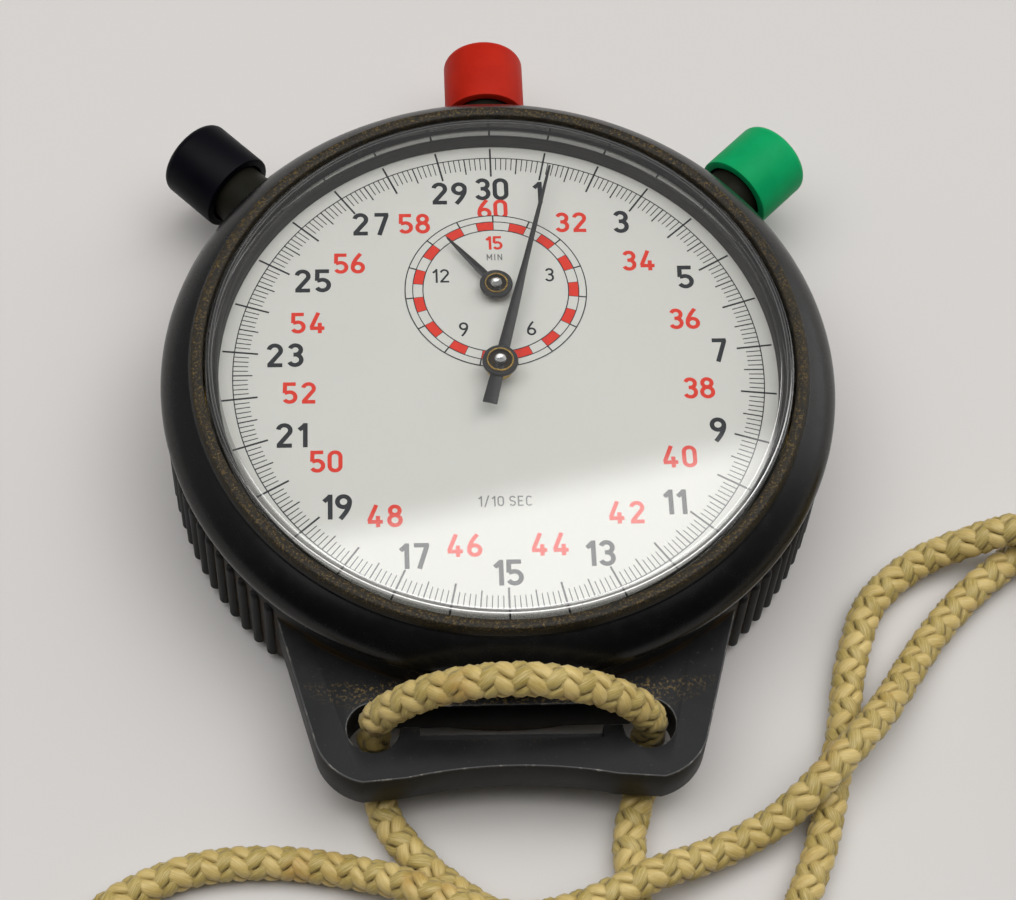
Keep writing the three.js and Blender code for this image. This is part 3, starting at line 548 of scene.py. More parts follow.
def hank_points():
    """Two and a half turns inwards on top and two outwards below, as wide as the hank's box."""
    top, bottom = CORD_D * 1.5, CORD_D * 0.5
    # How many cord widths outside the innermost turn each long side lies. Left sides run down.
    rows = [2, 2, 1, 1, 0, 0, 0, 1, 1, 2]
    inner = HANK_OUTER - 2 * CORD_D
    high, low = HANK_ENDS
    entry_r = 5.8 * MM
    points = half_ring(HANK_X - HANK_OUTER - entry_r, high - 3.3 * MM, entry_r, 45, 0, top, 3)
    for i, row in enumerate(rows):
        side = -1 if i % 2 == 0 else 1
        x = HANK_X + side * (inner + row * CORD_D)
        next_row = rows[i + 1] if i + 1 < len(rows) else 2
        x_next = HANK_X - side * (inner + next_row * CORD_D)
        for k in range(5):
            share = k / 4
            y = high + (low - high) * (share if side < 0 else 1 - share)
            drop = share * share * (3 - 2 * share) if i == 5 else float(i > 5)
            if i > 0 or k > 0:
                points.append(Vector((x, y, top + (bottom - top) * drop)))
        z = top if i < 5 else bottom
        start = 180 if side < 0 else 0
        last = i + 1 == len(rows)
        turn = half_ring((x + x_next) / 2, low if side < 0 else high, abs(x_next - x) / 2,
                         start, 120 if last else start + 180, z, 6 if last else 8)
        points += turn[1:] if last else turn[1:-1]
    return points


def smooth_path(points, step):
    """A centripetal Catmull-Rom curve through the points, cut into even steps."""
    ends = [points[0] * 2 - points[1], *points, points[-1] * 2 - points[-2]]
    dense = []
    for a, b, c, d in zip(ends, ends[1:], ends[2:], ends[3:]):
        ta = 0.0
        tb = ta + (b - a).length ** 0.5
        tc = tb + (c - b).length ** 0.5
        td = tc + (d - c).length ** 0.5
        for i in range(16):
            t = tb + (tc - tb) * i / 16
            ab = a.lerp(b, (t - ta) / (tb - ta))
            bc = b.lerp(c, (t - tb) / (tc - tb))
            cd = c.lerp(d, (t - tc) / (td - tc))
            abc = ab.lerp(bc, (t - ta) / (tc - ta))
            bcd = bc.lerp(cd, (t - tb) / (td - tb))
            dense.append(abc.lerp(bcd, (t - tb) / (tc - tb)))
    dense.append(points[-1].copy())
    even = [dense[0]]
    left = step
    for start, end in zip(dense, dense[1:]):
        span = (end - start).length
        done = 0.0
        while span - done >= left:
            done += left
            even.append(start.lerp(end, done / span))
            left = step
        left -= span - done
    return even


def frames_along(path):
    """Each point with two crosswise axes, turned as little as possible from one to the next."""
    frames = []
    side = None
    for i, point in enumerate(path):
        tangent = (path[min(i + 1, len(path) - 1)] - path[max(i - 1, 0)]).normalized()
        if side is None:
            side = tangent.orthogonal().normalized()
        side = (side - tangent * side.dot(tangent)).normalized()
        frames.append((point, side, tangent.cross(side)))
    return frames


BRAID_PITCH = 9.6 * MM / CORD_D  # one strand's full turn, in cord diameters
STRAND_MIDDLE = 0.77 * MM / CORD_D
STRAND_SWING = 0.15 * MM / CORD_D
STRAND_WIDE = 0.74 * MM / CORD_D
STRAND_THICK = 0.49 * MM / CORD_D
SECTION_POINTS = 8


def braid(name, points, diameter, step, seed):
    """An eight-strand braid on a path: four strands each way, over one and under one."""
    path = smooth_path(points, step)
    frames = frames_along(path)
    rng = random.Random(seed)
    bm = bmesh.new()
    crest_layer = bm.verts.layers.float.new("crest")
    uv_layer = bm.loops.layers.uv.new("UVMap")
    for strand in range(8):
        way = 1 if strand < 4 else -1
        start = (strand % 4) * math.pi / 2
        wobble = [rng.uniform(-1, 1) for _ in range(64)]
        rows = []
        for i, (point, side, up) in enumerate(frames):
            phase = math.tau * i * step / (BRAID_PITCH * diameter)
            angle = start + way * phase
            drift = wobble[int(i * step / (1.3 * diameter)) % 64]
            wave = way * math.cos(4 * phase)
            lift = math.copysign(abs(wave) ** 0.6, wave)
            r = (STRAND_MIDDLE + STRAND_SWING * lift + 0.006 * drift) * diameter
            ends = min(1, min(i, len(frames) - 1 - i) / 2)
            outward = side * math.cos(angle) + up * math.sin(angle)
            across = up * math.cos(angle) - side * math.sin(angle)
            row = []
            for k in range(SECTION_POINTS):
                turn = math.tau * k / SECTION_POINTS
                wide = STRAND_WIDE * (1 + 0.08 * lift) * diameter * math.cos(turn)
                thick = STRAND_THICK * diameter * math.sin(turn)
                corner = point + (outward * (r + thick) + across * wide) * (0.4 + 0.6 * ends)
                vert = bm.verts.new(corner)
                # crest is low on a strand's underside and where it passes under another; the cord's material
                # paints shade there from it.
                reach = 0.5 + 0.5 * lift
                vert[crest_layer] = max(0.0, (0.5 + 0.5 * math.sin(turn)) * (0.35 + 0.65 * reach))
                row.append(vert)
            rows.append(row)
        for i, (low, high) in enumerate(zip(rows, rows[1:])):
            for k in range(SECTION_POINTS):
                j = (k + 1) % SECTION_POINTS
                face = bm.faces.new((low[k], low[j], high[j], high[k]))
                spans = ((k, i), (k + 1, i), (k + 1, i + 1), (k, i + 1))
                for loop, (u, v) in zip(face.loops, spans):
                    loop[uv_layer].uv = (u / SECTION_POINTS + strand, v * step / diameter)
        close_ends(bm, rows)
    return object_from(name, bm, [MATERIALS["cord_straw"]], 80), path


def knot_points():
    """Two and a half close turns round the cord, with the ends tucked in."""
    along = Vector((1, 0.06, 0)).normalized()
    side = Vector((along.y, -along.x, 0))
    points = []
    for i in range(37):
        share = i / 36
        angle = math.tau * 2.5 * share
        r = (1.62 - 0.9 * max(0, abs(share - 0.5) - 0.42) / 0.08) * MM
        around = side * math.cos(angle) + Vector((0, 0, 1)) * math.sin(angle)
        points.append(KNOT_CENTRE + along * (share - 0.5) * 4.2 * MM + around * r)
    return points


through_knot = [KNOT_CENTRE + Vector((x, 0.05 * x, 0)) for x in (-2.7 * MM, 0, 2.7 * MM)]
cord_route = [
    SEAM, *in_metres(CORD_OUT), *hank_points(), *in_metres(CORD_LOOP),
    *through_knot, *in_metres(CORD_BACK), SEAM,
]
cord, cord_path = braid("lanyard_cord", cord_route, CORD_D, 0.55 * MM, 4)
settle(cord, "case", "cord_straw", "lanyard_out", "lanyard_loop", "lanyard_back", "lanyard_hank")
knot, _ = braid("lanyard_tie", knot_points(), 2.15 * MM, 0.45 * MM, 9)
settle(knot, "case", "cord_straw", "lanyard_knot")


# ---- case ----
def rib(bm, angle):
    """A half-round rib that ends in a dome, standing on the case wall."""
    turn = Matrix.Rotation(angle, 4, "Z")
    heights = [(CASE_LOW + 0.12 * MM, 0.0), (CASE_LOW + 0.3 * MM, 1.0), (RIB_TOP - RIB_R, 1.0)]
    heights += [(RIB_TOP - RIB_R + RIB_R * math.sin(a), math.cos(a)) for a in (0.5, 0.9, 1.25)]
    rows = []
    depth = RIB_CREST - (CASE_R - 0.12 * MM)
    for z, share in heights:
        row = []
        for k in range(9):
            around = math.pi * k / 8
            out = CASE_R - 0.12 * MM + depth * math.sin(around) * (0.3 + 0.7 * share)
            row.append(bm.verts.new(turn @ Vector((out, RIB_R * math.cos(around) * max(share, 0.25), z))))
        rows.append(row)
    for low, high in zip(rows, rows[1:]):
        for k in range(8):
            bm.faces.new((low[k + 1], low[k], high[k], high[k + 1]))
        bm.faces.new((low[0], low[8], high[8], high[0]))
    bm.faces.new(rows[0])
    bm.faces.new(list(reversed(rows[-1])))


def case_shell():
    bm = bmesh.new()
    profile = [
        (24.4, 1.7), (25.75, 1.7), (25.75, 0.85), (25.9, 0.7), (26.5, 0.7), (26.75, 0.8), (26.9, 1.05),
        (26.9, 10.75), (26.8, 10.93), (26.6, 11.0), (24.4, 11.0),
    ]
    lathe(bm, [(r * MM, z * MM) for r, z in profile], 220)
    neck_angles = [math.radians(b["angle"]) for b in BUTTONS.values()]
    for i in range(RIB_COUNT):
        angle = math.pi + math.tau * i / RIB_COUNT
        clear_of_necks = all(abs((angle - n + math.pi) % math.tau - math.pi) > RIB_GAP for n in neck_angles)
        in_lug = abs((angle - 1.5 * math.pi + math.pi) % math.tau - math.pi) < math.radians(41)
        if clear_of_necks and not in_lug:
            rib(bm, angle)
    bmesh.ops.recalc_face_normals(bm, faces=bm.faces)
    made = object_from("case_shell", bm, [MATERIALS["case_black"]])
    return settle(made, "case", "case_black", "case_body")


def lug_outline():
    corner, corner_r = (10.5 * MM, -29.4 * MM), 4.85 * MM
    front, front_r = (0, -72.9 * MM), 39.9 * MM
    outline = arc((0, 0), 26.2 * MM, -45, -135, 24)
    outline += arc((-corner[0], corner[1]), corner_r, 195, 257, 10)
    outline += arc(front, front_r, 103, 77, 20)[1:-1]
    outline += arc(corner, corner_r, 283, 345, 10)
    return outline


def lug_opening():
    """The two cord holes and the slot that joins them, as one loop."""
    x, y = LUG_HOLE
    low = math.degrees(math.asin((SLOT_LOW - y) / LUG_HOLE_R))
    high = math.degrees(math.asin((SLOT_HIGH - y) / LUG_HOLE_R))
    right = arc((x, y), LUG_HOLE_R, 180 - high, -180 - low, 36)
    left = arc((-x, y), LUG_HOLE_R, -low, -360 + high, 36)
    return right + left


def apply_modifiers(piece):
    """Bakes a piece's modifiers into its mesh."""
    graph = bpy.context.evaluated_depsgraph_get()
    mesh = bpy.data.meshes.new_from_object(piece.evaluated_get(graph))
    piece.modifiers.clear()
    piece.data = mesh


def cutter_box(low, high):
    bm = bmesh.new()
    prism(bm, [(low[0], low[1]), (high[0], low[1]), (high[0], high[1]), (low[0], high[1])], low[2], high[2])
    return object_from("cutter", bm, [])


def case_lug():
    bm = bmesh.new()
    prism(bm, lug_outline(), LUG_LOW, LUG_TOP, [lug_opening()])
    bmesh.ops.dissolve_limit(bm, angle_limit=math.radians(0.5), verts=bm.verts, edges=bm.edges)
    lug = object_from("case_lug", bm, [MATERIALS["case_black"], MATERIALS["worn_edge"]])
    ledge = cutter_box((-LEDGE_HALF, LEDGE_LOW, LEDGE_Z), (LEDGE_HALF, SLOT_LOW + 0.5 * MM, LUG_TOP + MM))
    bevel = lug.modifiers.new("edges", "BEVEL")
    bevel.width, bevel.segments, bevel.limit_method = 0.12 * MM, 2, "ANGLE"
    bevel.angle_limit, bevel.material, bevel.harden_normals = math.radians(50), 1, False
    cut = lug.modifiers.new("ledge", "BOOLEAN")
    cut.object, cut.operation, cut.solver = ledge, "DIFFERENCE", "EXACT"
    apply_modifiers(lug)
    bpy.data.objects.remove(ledge)
    for polygon in lug.data.polygons:
        polygon.use_smooth = True
    sharpen(lug.data, 30)
    return settle(lug, "case", "case_black", "case_body")


def sharpen(mesh, degrees):
    bm = bmesh.new()
    bm.from_mesh(mesh)
    for edge in bm.edges:
        edge.smooth = not (len(edge.link_faces) == 2 and edge.calc_face_angle(0) > math.radians(degrees))
    bm.to_mesh(mesh)
    bm.free()


def button_matrix(angle):
    """Turns a piece made along +Z onto a button's axis."""
    lay = Matrix.Rotation(-math.pi / 2, 4, "X")
    return Matrix.Translation((0, 0, BUTTON_Z)) @ Matrix.Rotation(math.radians(angle - 90), 4, "Z") @ lay


NECK_PROFILE = [
    (1.15, 24.6), (2.9, 24.6), (2.9, 26.9), (2.72, 27.5), (2.62, 28.1), (2.6, 31.9), (2.5, 32.2),
    (2.35, 32.3), (1.95, 32.3), (1.95, 28.5), (1.15, 28.3),
]
COVER_PROFILE = [
    (0, 0), (17.8, 0), (18.0, 0.12), (18.4, 0.12), (18.6, 0), (24.3, 0), (24.9, 0.1),
    (25.35, 0.32), (25.55, 0.65), (25.6, 1.6), (0, 1.6),
]
case_shell()
case_lug()
for cap_name, button in BUTTONS.items():
    neck_name = cap_name.split("_")[0] + "_button_neck"
    neck = turned(neck_name, NECK_PROFILE, 64, ["neck"], matrix=button_matrix(button["angle"]))
    settle(neck, "case", "case_black", "case_body")
settle(turned("back_cover_turned", COVER_PROFILE, 200, ["case_black"]), "case", "case_black", "back_cover")


# ---- bezel, crystal and reflector ring ----
BEZEL_PROFILE = [
    (23.95, 11.0), (27.15, 11.0), (27.36, 11.08), (27.48, 11.28), (27.5, 11.5), (27.48, 11.72),
    (27.4, 11.98), (27.22, 12.32), (26.95, 12.7), (26.6, 13.08), (26.2, 13.43), (25.8, 13.74),
    (25.45, 13.98), (25.2, 14.13), (25.09, 14.2), (25.04, 14.27), (25.0, 14.4), (24.86, 14.95),
    (24.8, 15.04), (24.7, 15.09), (24.35, 15.07), (24.05, 15.03), (23.98, 14.98), (23.95, 14.9),
]
CRYSTAL_PROFILE = [
    (0, 14.4), (22.7, 14.4), (22.95, 14.32), (23.1, 14.15), (23.15, 13.9), (23.2, 12.9),
    (23.8, 12.9), (23.85, 13.0), (23.85, 14.62), (23.8, 14.8), (23.68, 14.93), (23.5, 15.0),
    (23.3, 15.0), (23.22, 14.985), (23.1, 15.0), (0, 15.0),
]
REFLECTOR_PROFILE = [(22.8, 12.05), (23.8, 12.05), (23.8, 12.85), (23.05, 12.85), (22.9, 12.7)]
settle(turned("bezel_ring", BEZEL_PROFILE, 240, ["bezel_black"], 50), "case", "bezel_black", "bezel")
glass = turned("crystal_glass", CRYSTAL_PROFILE, 240, ["crystal", "crystal_rim"], 50)
for face in glass.data.polygons:
    face.material_index = int(face.center.xy.length > RIM_INNER_R)
settle(glass, "case", "crystal", "crystal")
ring = turned("reflector_turned", REFLECTOR_PROFILE, 240, ["reflector"])
settle(ring, "case", "reflector", "reflector_ring")


# ---- buttons ----
def cap_profile(mouth, end):
    """A cup with a rounded end, from its open mouth. Lengths are millimetres."""
    bore, outer, corner = 2.85, 3.5, 0.75
    floor = end - 1.5
    return [
        (bore, mouth), (outer - 0.16, mouth), (outer - 0.04, mouth + 0.05), (outer, mouth + 0.18),
        *arc((outer - corner, end - corner), corner, 0, 90, 10),
        (1.6, end + 0.03), (0, end + 0.04), (0, floor), (bore - 0.2, floor), (bore, floor - 0.2),
    ]


for cap_name, button in BUTTONS.items():
    plastic = cap_name.split("_")[0] + "_plastic"
    profile = cap_profile(button["mouth"], button["end"])
    shape = turned(cap_name + "_moulded", profile, 96, [plastic], matrix=button_matrix(button["angle"]))
    settle(shape, button["body"], plastic, cap_name)


# ---- the buttons' return springs ----
def wire(bm, path, radius, sides=10):
    """A round wire along a path."""
    rows = []
    for point, side, up in frames_along(path):
        row = []
        for k in range(sides):
            turn = math.tau * k / sides
            row.append(bm.verts.new(point + (side * math.cos(turn) + up * math.sin(turn)) * radius))
        rows.append(row)
    join_rings(bm, rows)
    close_ends(bm, rows)


def return_spring(label, angle):
    """A wire spring in the CAD spring's place."""
    node = label + "_spring"
    direction = Vector((math.cos(math.radians(angle)), math.sin(math.radians(angle)), 0))
    reach = [direction.dot(vertex.co) for vertex in frame["nodes"][node].data.vertices]
    foot, head = min(reach), max(reach)
    steps = 24  # in one turn
    helix = []
    for i in range(SPRING_TURNS * steps + 1):
        turn = math.tau * i / steps
        along = foot + SPRING_WIRE_R + (head - foot - 2 * SPRING_WIRE_R) * i / (SPRING_TURNS * steps)
        point = Vector((SPRING_R * math.cos(turn), SPRING_R * math.sin(turn), along))
        helix.append(button_matrix(angle) @ point)
    bm = bmesh.new()
    wire(bm, helix, SPRING_WIRE_R)
    spring = settle(object_from(node + "_wire", bm, [MATERIALS["steel"]]), "case", "steel", node)
    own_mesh(spring)


SPRING_R, SPRING_WIRE_R, SPRING_TURNS = 1.75 * MM, 0.17 * MM, 3
return_spring("crown", 90)
return_spring("green_button", 45)
return_spring("black_button", 134.5)


# ---- dial printing ----
PRINT_LOW, PRINT_HIGH = DIAL_TOP, DIAL_TOP + 0.012 * MM
INK_STEP = 0.003 * MM  # how much higher a line lies than the one it crosses
REGISTER_LOW = PRINT_HIGH + 0.012 * MM
TRACK_R = 21.65


def clock_point(r, degrees, centre=(0, 0)):
    """A point r millimetres from the centre, at a clockwise angle from +Y."""
    angle = math.radians(degrees)
    return Vector((centre[0] + r * MM * math.sin(angle), centre[1] + r * MM * math.cos(angle)))


def ring_print(bm, r, width, centre=(0, 0)):
    inner, outer = (r - width / 2) * MM, (r + width / 2) * MM
    profile = [(inner, PRINT_LOW), (outer, PRINT_LOW), (outer, PRINT_HIGH), (inner, PRINT_HIGH)]
    lathe(bm, profile, 240, Matrix.Translation((centre[0], centre[1], 0)))


def tick(bm, start, end, degrees, width, centre=(0, 0)):
    middle = clock_point((start + end) / 2, degrees, centre)
    direction = clock_point(1, degrees)
    box_on(bm, middle, direction, (end - start) * MM, width * MM, PRINT_LOW, PRINT_HIGH)


def seconds_track(bm):
    ring_print(bm, TRACK_R, 0.09)
    for i in range(300):
        degrees = i * 1.2
        if i % 10 == 0:
            tick(bm, 19.72, 22.65, degrees, 0.16)
        elif i % 5 == 0:
            tick(bm, 20.05, 21.62, degrees, 0.11)
        else:
            tick(bm, 20.42, 21.62, degrees, 0.08)


def minute_register(black, red, ground):
    centre = (MINUTE_AXIS.x, MINUTE_AXIS.y)
    prism(ground, arc(centre, 7.53 * MM, 0, 360, 120)[:-1], PRINT_LOW, REGISTER_LOW)
    for r, width in ((7.53, 0.09), (6.9, 0.08), (6.05, 0.09)):
        ring_print(black, r, width, centre)
    for minute in range(15):
        degrees = minute * 24
        tick(black, 6.9, 7.53, degrees, 0.12, centre)
        tick(black, 6.05, 6.9, degrees, 0.08, centre)
        tick(black, 6.05, 6.9, degrees - 12, 0.08, centre)
        start, end = 90 - degrees, 90 - degrees + 12
        block = arc(centre, 6.86 * MM, start, end, 6) + arc(centre, 6.09 * MM, end, start, 6)
        prism(red, block, PRINT_LOW, PRINT_HIGH + 0.004 * MM)


# Each figure or letter is drawn with lines of even width, on a height of 1.
# WIDE is half the width between its outer lines, and FOOT and HEAD are its lowest and highest line.
WIDE, FOOT, HEAD = 0.215, 0.076, 0.924
SIX_TAIL = [(-WIDE, 0.3), (-0.205, 0.42), (-0.165, 0.55), (-0.09, 0.7), (0.01, 0.85), (0.115, 0.985)]


def upside_down(points):
    return [(-x, 1 - y) for x, y in points]


SIX = [arc((0, FOOT + WIDE), WIDE, 0, 360, 24), SIX_TAIL]
GLYPHS = {
    "0": [
        arc((0, HEAD - WIDE), WIDE, 0, 180, 14)
        + arc((0, FOOT + WIDE), WIDE, 180, 360, 14)
        + [(WIDE, HEAD - WIDE)],
    ],
    "1": [[(0.06, 0), (0.06, 1)], [(-0.16, 0.72), (0.04, 0.91)]],
    "2": [
        arc((0, HEAD - WIDE), WIDE, 170, -32, 16) + [(-WIDE + 0.03, FOOT + 0.04)],
        [(-WIDE - 0.05, FOOT), (WIDE + 0.06, FOOT)],
    ],
    "3": [
        arc((0, HEAD - 0.2), 0.2, 160, -90, 16) + [(-0.07, 0.524)],
        arc((-0.01, FOOT + 0.225), 0.225, 90, -155, 18),
    ],
    "4": [[(0.05, 1), (-0.24, 0.27)], [(-0.29, 0.24), (0.3, 0.24)], [(0.11, 0.5), (0.11, 0)]],
    "5": [[(WIDE + 0.02, HEAD), (-WIDE + 0.02, HEAD), (-WIDE + 0.01, 0.5)],
          [(-WIDE + 0.01, 0.5)] + arc((-0.01, FOOT + 0.235), 0.235, 115, -150, 20)],
    "6": SIX,
    "7": [[(-WIDE - 0.04, HEAD), (WIDE + 0.05, HEAD)], [(WIDE - 0.01, HEAD), (-0.08, 0)]],
    "8": [arc((0, HEAD - 0.19), 0.19, 0, 360, 22), arc((0, FOOT + 0.225), 0.225, 0, 360, 24)],
    "9": [upside_down(line) for line in SIX],
    "M": [[(-0.3, 0), (-0.3, 1)], [(-0.3, 0.95), (0, 0.3)], [(0, 0.3), (0.3, 0.95)], [(0.3, 1), (0.3, 0)]],
    "I": [[(0, 0), (0, 1)]],
    "N": [[(-0.25, 0), (-0.25, 1)], [(-0.25, 0.96), (0.25, 0.04)], [(0.25, 0), (0.25, 1)]],
    "S": [arc((0, HEAD - 0.215), 0.215, 20, 270, 16) + arc((0, FOOT + 0.21), 0.21, 90, -160, 16)],
    "E": [[(0.2, FOOT), (-0.2, FOOT), (-0.2, HEAD), (0.2, HEAD)], [(-0.2, 0.5), (0.15, 0.5)]],
    "C": [arc((0, HEAD - WIDE), WIDE, 30, 180, 10) + arc((0, FOOT + WIDE), WIDE, 180, 330, 10)],
    "/": [[(-0.17, -0.05), (0.17, 1.05)]],
    " ": [[(-0.06, 0), (-0.06, 0)]],
}


def ribbon(bm, points, half, low, high):
    """A flat line of even width through the points, with mitred bends and square ends."""
    closed = (points[0] - points[-1]).length < 1e-7 and len(points) > 3
    if closed:
        points = points[:-1]
    count = len(points)
    rows = []
    for i, point in enumerate(points):
        before = points[i - 1] if closed or i > 0 else point * 2 - points[1]
        after = points[(i + 1) % count] if closed or i + 1 < count else point * 2 - points[-2]
        into, out = (point - before).normalized(), (after - point).normalized()
        across = Vector((-into.y - out.y, into.x + out.x)).normalized()
        reach = half / max(0.6, across.dot(Vector((-into.y, into.x))))
        left, right = point + across * reach, point - across * reach
        corners = ((left, low), (right, low), (right, high), (left, high))
        rows.append([bm.verts.new((p.x, p.y, z)) for p, z in corners])
    if closed:
        rows.append(rows[0])
    else:
        close_ends(bm, rows)
    join_rings(bm, rows)


FIGURE_WEIGHT, FIGURE_GAP = 0.168, 0.085  # in heights: the lines' width, and the gap between figures


def text_width(text, weight, gap):
    """Where each glyph's middle lies along a line of text centred on 0, and the line's width."""
    places, end = [], 0.0
    for letter in text:
        xs = [x for line in GLYPHS[letter] for x, _ in line]
        low, high = min(xs) - weight / 2, max(xs) + weight / 2
        places.append(end - low)
        end += high - low + gap
    width = end - gap
    return [place - width / 2 for place in places], width


def write(bm, text, centre, height, weight=FIGURE_WEIGHT, gap=FIGURE_GAP):
    """Writes text on the dial, centred on a point. Crossing lines lie one on the other."""
    size = height * MM
    places, _ = text_width(text, weight, gap)
    for letter, place in zip(text, places):
        for layer, line in enumerate(GLYPHS[letter]):
            points = []
            for x, y in line:
                points.append(Vector((centre[0] + (place + x) * size, centre[1] + (y - 0.5) * size)))
            if (points[0] - points[1]).length > 0:
                ribbon(bm, points, weight / 2 * size, PRINT_LOW, PRINT_HIGH + layer * INK_STEP)


BLACK_HEIGHT, RED_HEIGHT, REGISTER_HEIGHT = 2.25, 2.0, 1.38
OUTER_NUMERAL_R, INNER_NUMERAL_R, REGISTER_R = 18.4, 16.3, 4.75


def outer_numeral_place(text, degrees):
    """Wide numerals at the sides sit nearer the centre, so their outer ends keep clear of the track."""
    width = text_width(text, FIGURE_WEIGHT, FIGURE_GAP)[1] * BLACK_HEIGHT
    angle = math.radians(degrees)
    reach = OUTER_NUMERAL_R - 0.9 * (width / 2 - 0.65)
    return Vector((math.sin(angle) * reach * MM, math.cos(angle) * OUTER_NUMERAL_R * MM))


def dial_printing():
    """The register lies on a ground of its own, which covers the foot of the 60."""
    black, red, grey = bmesh.new(), bmesh.new(), bmesh.new()
    register_black, register_red, register_grey = bmesh.new(), bmesh.new(), bmesh.new()
    ground = bmesh.new()
    seconds_track(black)
    minute_register(register_black, register_red, ground)
    for second in (30, *range(1, 30, 2)):
        text = str(second)
        write(black, text, outer_numeral_place(text, second * 12), BLACK_HEIGHT)
    for second in range(2, 32, 2):
        write(red, str(second + 30), clock_point(INNER_NUMERAL_R, second * 12), RED_HEIGHT)
    centre = MINUTE_AXIS.xy
    for minute in (3, 6, 9, 12):
        place = centre + clock_point(REGISTER_R, minute * 24)
        write(register_black, str(minute), place, REGISTER_HEIGHT, 0.125)
    write(register_red, "15", centre + clock_point(REGISTER_R, 0), 1.35)
    write(register_grey, "MIN", centre + clock_point(3.3, 0), 0.62, 0.13, 0.3)
    write(grey, "1/10 SEC", Vector((0, -12 * MM)), 0.95, 0.12, 0.16)
    for bm in (register_black, register_red, register_grey):
        bmesh.ops.transform(bm, matrix=Matrix.Translation((0, 0, REGISTER_LOW - PRINT_LOW)), verts=bm.verts)
    printed = {
        "dial_print_black": (black, "print_black", "print_black"),
        "dial_print_red": (red, "print_red", "print_red"),
        "dial_print_grey": (grey, "print_grey", "print_black"),
        "register_ground": (ground, "dial_white", "dial_white"),
        "register_print_black": (register_black, "print_black", "print_black"),
        "register_print_red": (register_red, "print_red", "print_red"),
        "register_print_grey": (register_grey, "print_grey", "print_black"),
    }
    for name, (bm, material, slot) in printed.items():
        bmesh.ops.recalc_face_normals(bm, faces=bm.faces)
        settle(object_from(name, bm, [MATERIALS[material]]), "case", slot)


dial_printing()


# ---- hands ----
def both_sides(right):
    """A closed outline from its right side, which runs from the tail to the tip."""
    return right + [(-x, y) for x, y in reversed(right)]


def blade(bm, outline, low, high, ridge):
    """A hand's blade with a low ridge along its middle."""
    rings = []
    for z, inset in ((low, 1.0), ((low + high) / 2, 1.0), (high, ridge)):
        rings.append([bm.verts.new((x * inset * MM, y * MM, z * MM)) for x, y in outline])
    join_rings(bm, rings)
    close_ends(bm, rings)


def hand(name, outline, heights, hub_profile, turn, centre, body, node):
    bm = bmesh.new()
    blade(bm, outline, *heights, 0.55)
    lathe(bm, [(r * MM, z * MM) for r, z in hub_profile], 48)
    bmesh.ops.recalc_face_normals(bm, faces=bm.faces)
    place = Matrix.Translation((centre.x, centre.y, 0)) @ Matrix.Rotation(math.radians(turn), 4, "Z")
    bmesh.ops.transform(bm, matrix=place, verts=bm.verts)
    return settle(object_from(name, bm, [MATERIALS["hand_black"]]), body, "hand_black", node)


def hub(name, wall, heights, arbor, centre, body, node):
    """A brass bush with a dark recess and a steel pin end over the arbor. Lengths are millimetres.

    wall holds its outer and inner radius, and heights its top, its recess's floor and its foot.
    """
    pin_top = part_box(arbor)[1].z / MM + 0.1
    outer, inner = wall
    top, seat, foot = heights
    profile = [
        (0, pin_top - 0.03), (0.12, pin_top - 0.03), (0.18, pin_top), (0.38, pin_top),
        (PIN_R - 0.02, pin_top - 0.08), (PIN_R, seat), (inner, seat), (inner, top - 0.05),
        (inner + 0.04, top), (outer - 0.04, top), (outer, top - 0.06), (outer, foot + 0.1),
        (outer - 0.1, foot), (0.4, foot), (0.4, pin_top - 0.07), (0, pin_top - 0.07),
    ]
    place = Matrix.Translation((centre.x, centre.y, 0))
    bush = turned(name, profile, 48, ["brass", "recess", "steel"], matrix=place)
    for face in bush.data.polygons:
        r = (face.center.xy - centre.xy).length
        if r < (PIN_R + 0.01) * MM:
            face.material_index = 2
        elif r < (inner + 0.005) * MM:
            face.material_index = 1
    return settle(bush, body, "brass", node)


PIN_R = 0.5
SECONDS_OUTLINE = both_sides([
    (0.6, -4.0), (0.6, -3.9), (0.53, -1.2), (0.49, 1.4), (0.43, 4.8), (0.37, 6.8), (0.26, 9.8),
    (0.2, 14), (0.1, 20.2),
])
MINUTE_OUTLINE = both_sides([(0.28, -1.0), (0.34, 0), (0.34, 2), (0.2, 4.6), (0.07, 6.2)])
CENTRE = Vector((0, 0, 0))
hand("seconds_hand_blade", SECONDS_OUTLINE, (13.62, 13.78),
     [(1.13, 13.62), (1.4, 13.62), (1.46, 13.7), (1.46, 13.9), (1.4, 13.97), (1.13, 13.97)],
     -14.1, CENTRE, "seconds", "seconds_hand")
hub("seconds_hand_bush", (1.12, 0.96), (14.12, 13.75, 12.6), "seconds_wheel", CENTRE, "seconds",
    "seconds_hand_hub")
hand("minute_hand_blade", MINUTE_OUTLINE, (12.72, 12.86),
     [(0.98, 12.72), (1.3, 12.72), (1.36, 12.78), (1.36, 13.0), (1.3, 13.06), (0.98, 13.06)],
     39.2, MINUTE_AXIS, "minutes", "minute_hand")
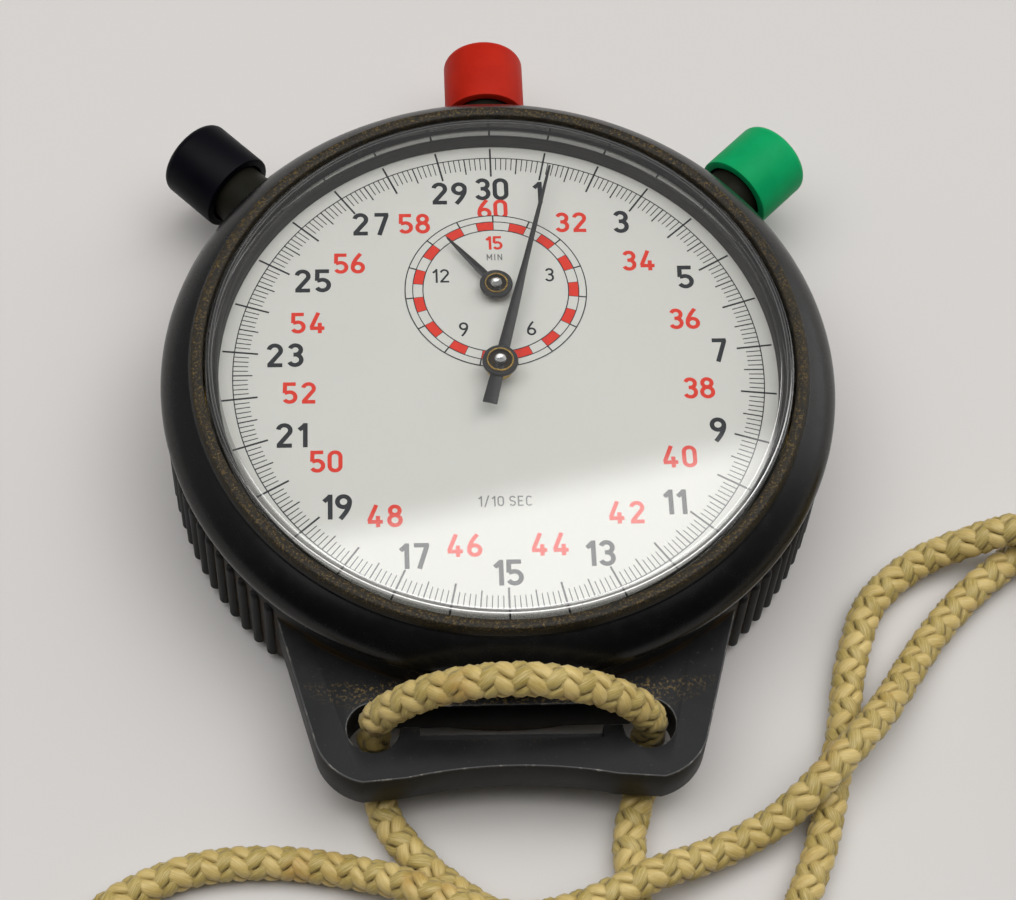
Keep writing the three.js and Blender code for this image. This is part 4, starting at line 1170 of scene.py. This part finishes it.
hub("minute_hand_bush", (0.97, 0.83), (13.18, 12.85, 12.4), "minute_recorder_wheel", MINUTE_AXIS, "minutes",
    "minute_hand_hub")


# ---- floor, lights and air ----
def make_stage():
    bm = bmesh.new()
    bmesh.ops.create_grid(bm, x_segments=2, y_segments=2, size=1.5)
    floor = object_from("floor", bm, [])
    nodes = Nodes("floor", roughness=0.6, specular_ior_level=0.2)
    nodes.set(base_color=nodes.mix(nodes.noise(9, 3), (0.585, 0.57, 0.56), (0.60, 0.585, 0.575)))
    floor.data.materials.append(nodes.material)
    floor.location.z = -0.02 * MM


class Room(Nodes):
    """The node helpers on a world."""

    def __init__(self, world):
        world.use_nodes = True
        self.tree = world.node_tree

    def soft(self, value, start, end):
        """0 up to start, 1 from end, with a soft step between."""
        return self.ramp(value, start, end, interpolation_type="SMOOTHSTEP")


def make_world():
    """A pale room with a wide soft light overhead and a window on the right, dark behind the camera."""
    world = bpy.data.worlds.new("room")
    bpy.context.scene.world = world
    nodes = Room(world)
    direction = nodes.add("ShaderNodeTexCoord").outputs["Generated"]
    x, y, _ = nodes.add("ShaderNodeSeparateXYZ", {0: direction}).outputs
    sideways = nodes.soft(nodes.maths("ABSOLUTE", x), 0.78, 0.5)
    leaning = nodes.maths("SUBTRACT", y, nodes.times(x, 0.2))
    overhead = nodes.times(nodes.soft(leaning, 0.432, 0.396), nodes.soft(y, -0.5, -0.1))
    overhead = nodes.times(overhead, sideways)
    overhead = nodes.times(overhead, 3.0)
    window = nodes.times(nodes.soft(x, 0.55, 0.85), nodes.soft(y, 0.0, 0.35))
    window = nodes.times(window, 1.3)
    walls = nodes.ramp(y, -0.4, 0.1, 0.02, 0.34)
    total = nodes.maths("ADD", nodes.maths("ADD", overhead, window), walls)
    shade = nodes.tree.nodes["Background"]
    shade.inputs["Color"].default_value = colour((1, 0.99, 0.975))
    nodes.tree.links.new(total, shade.inputs["Strength"])


make_stage()
make_world()
bpy.context.scene.view_settings.view_transform = "Standard"
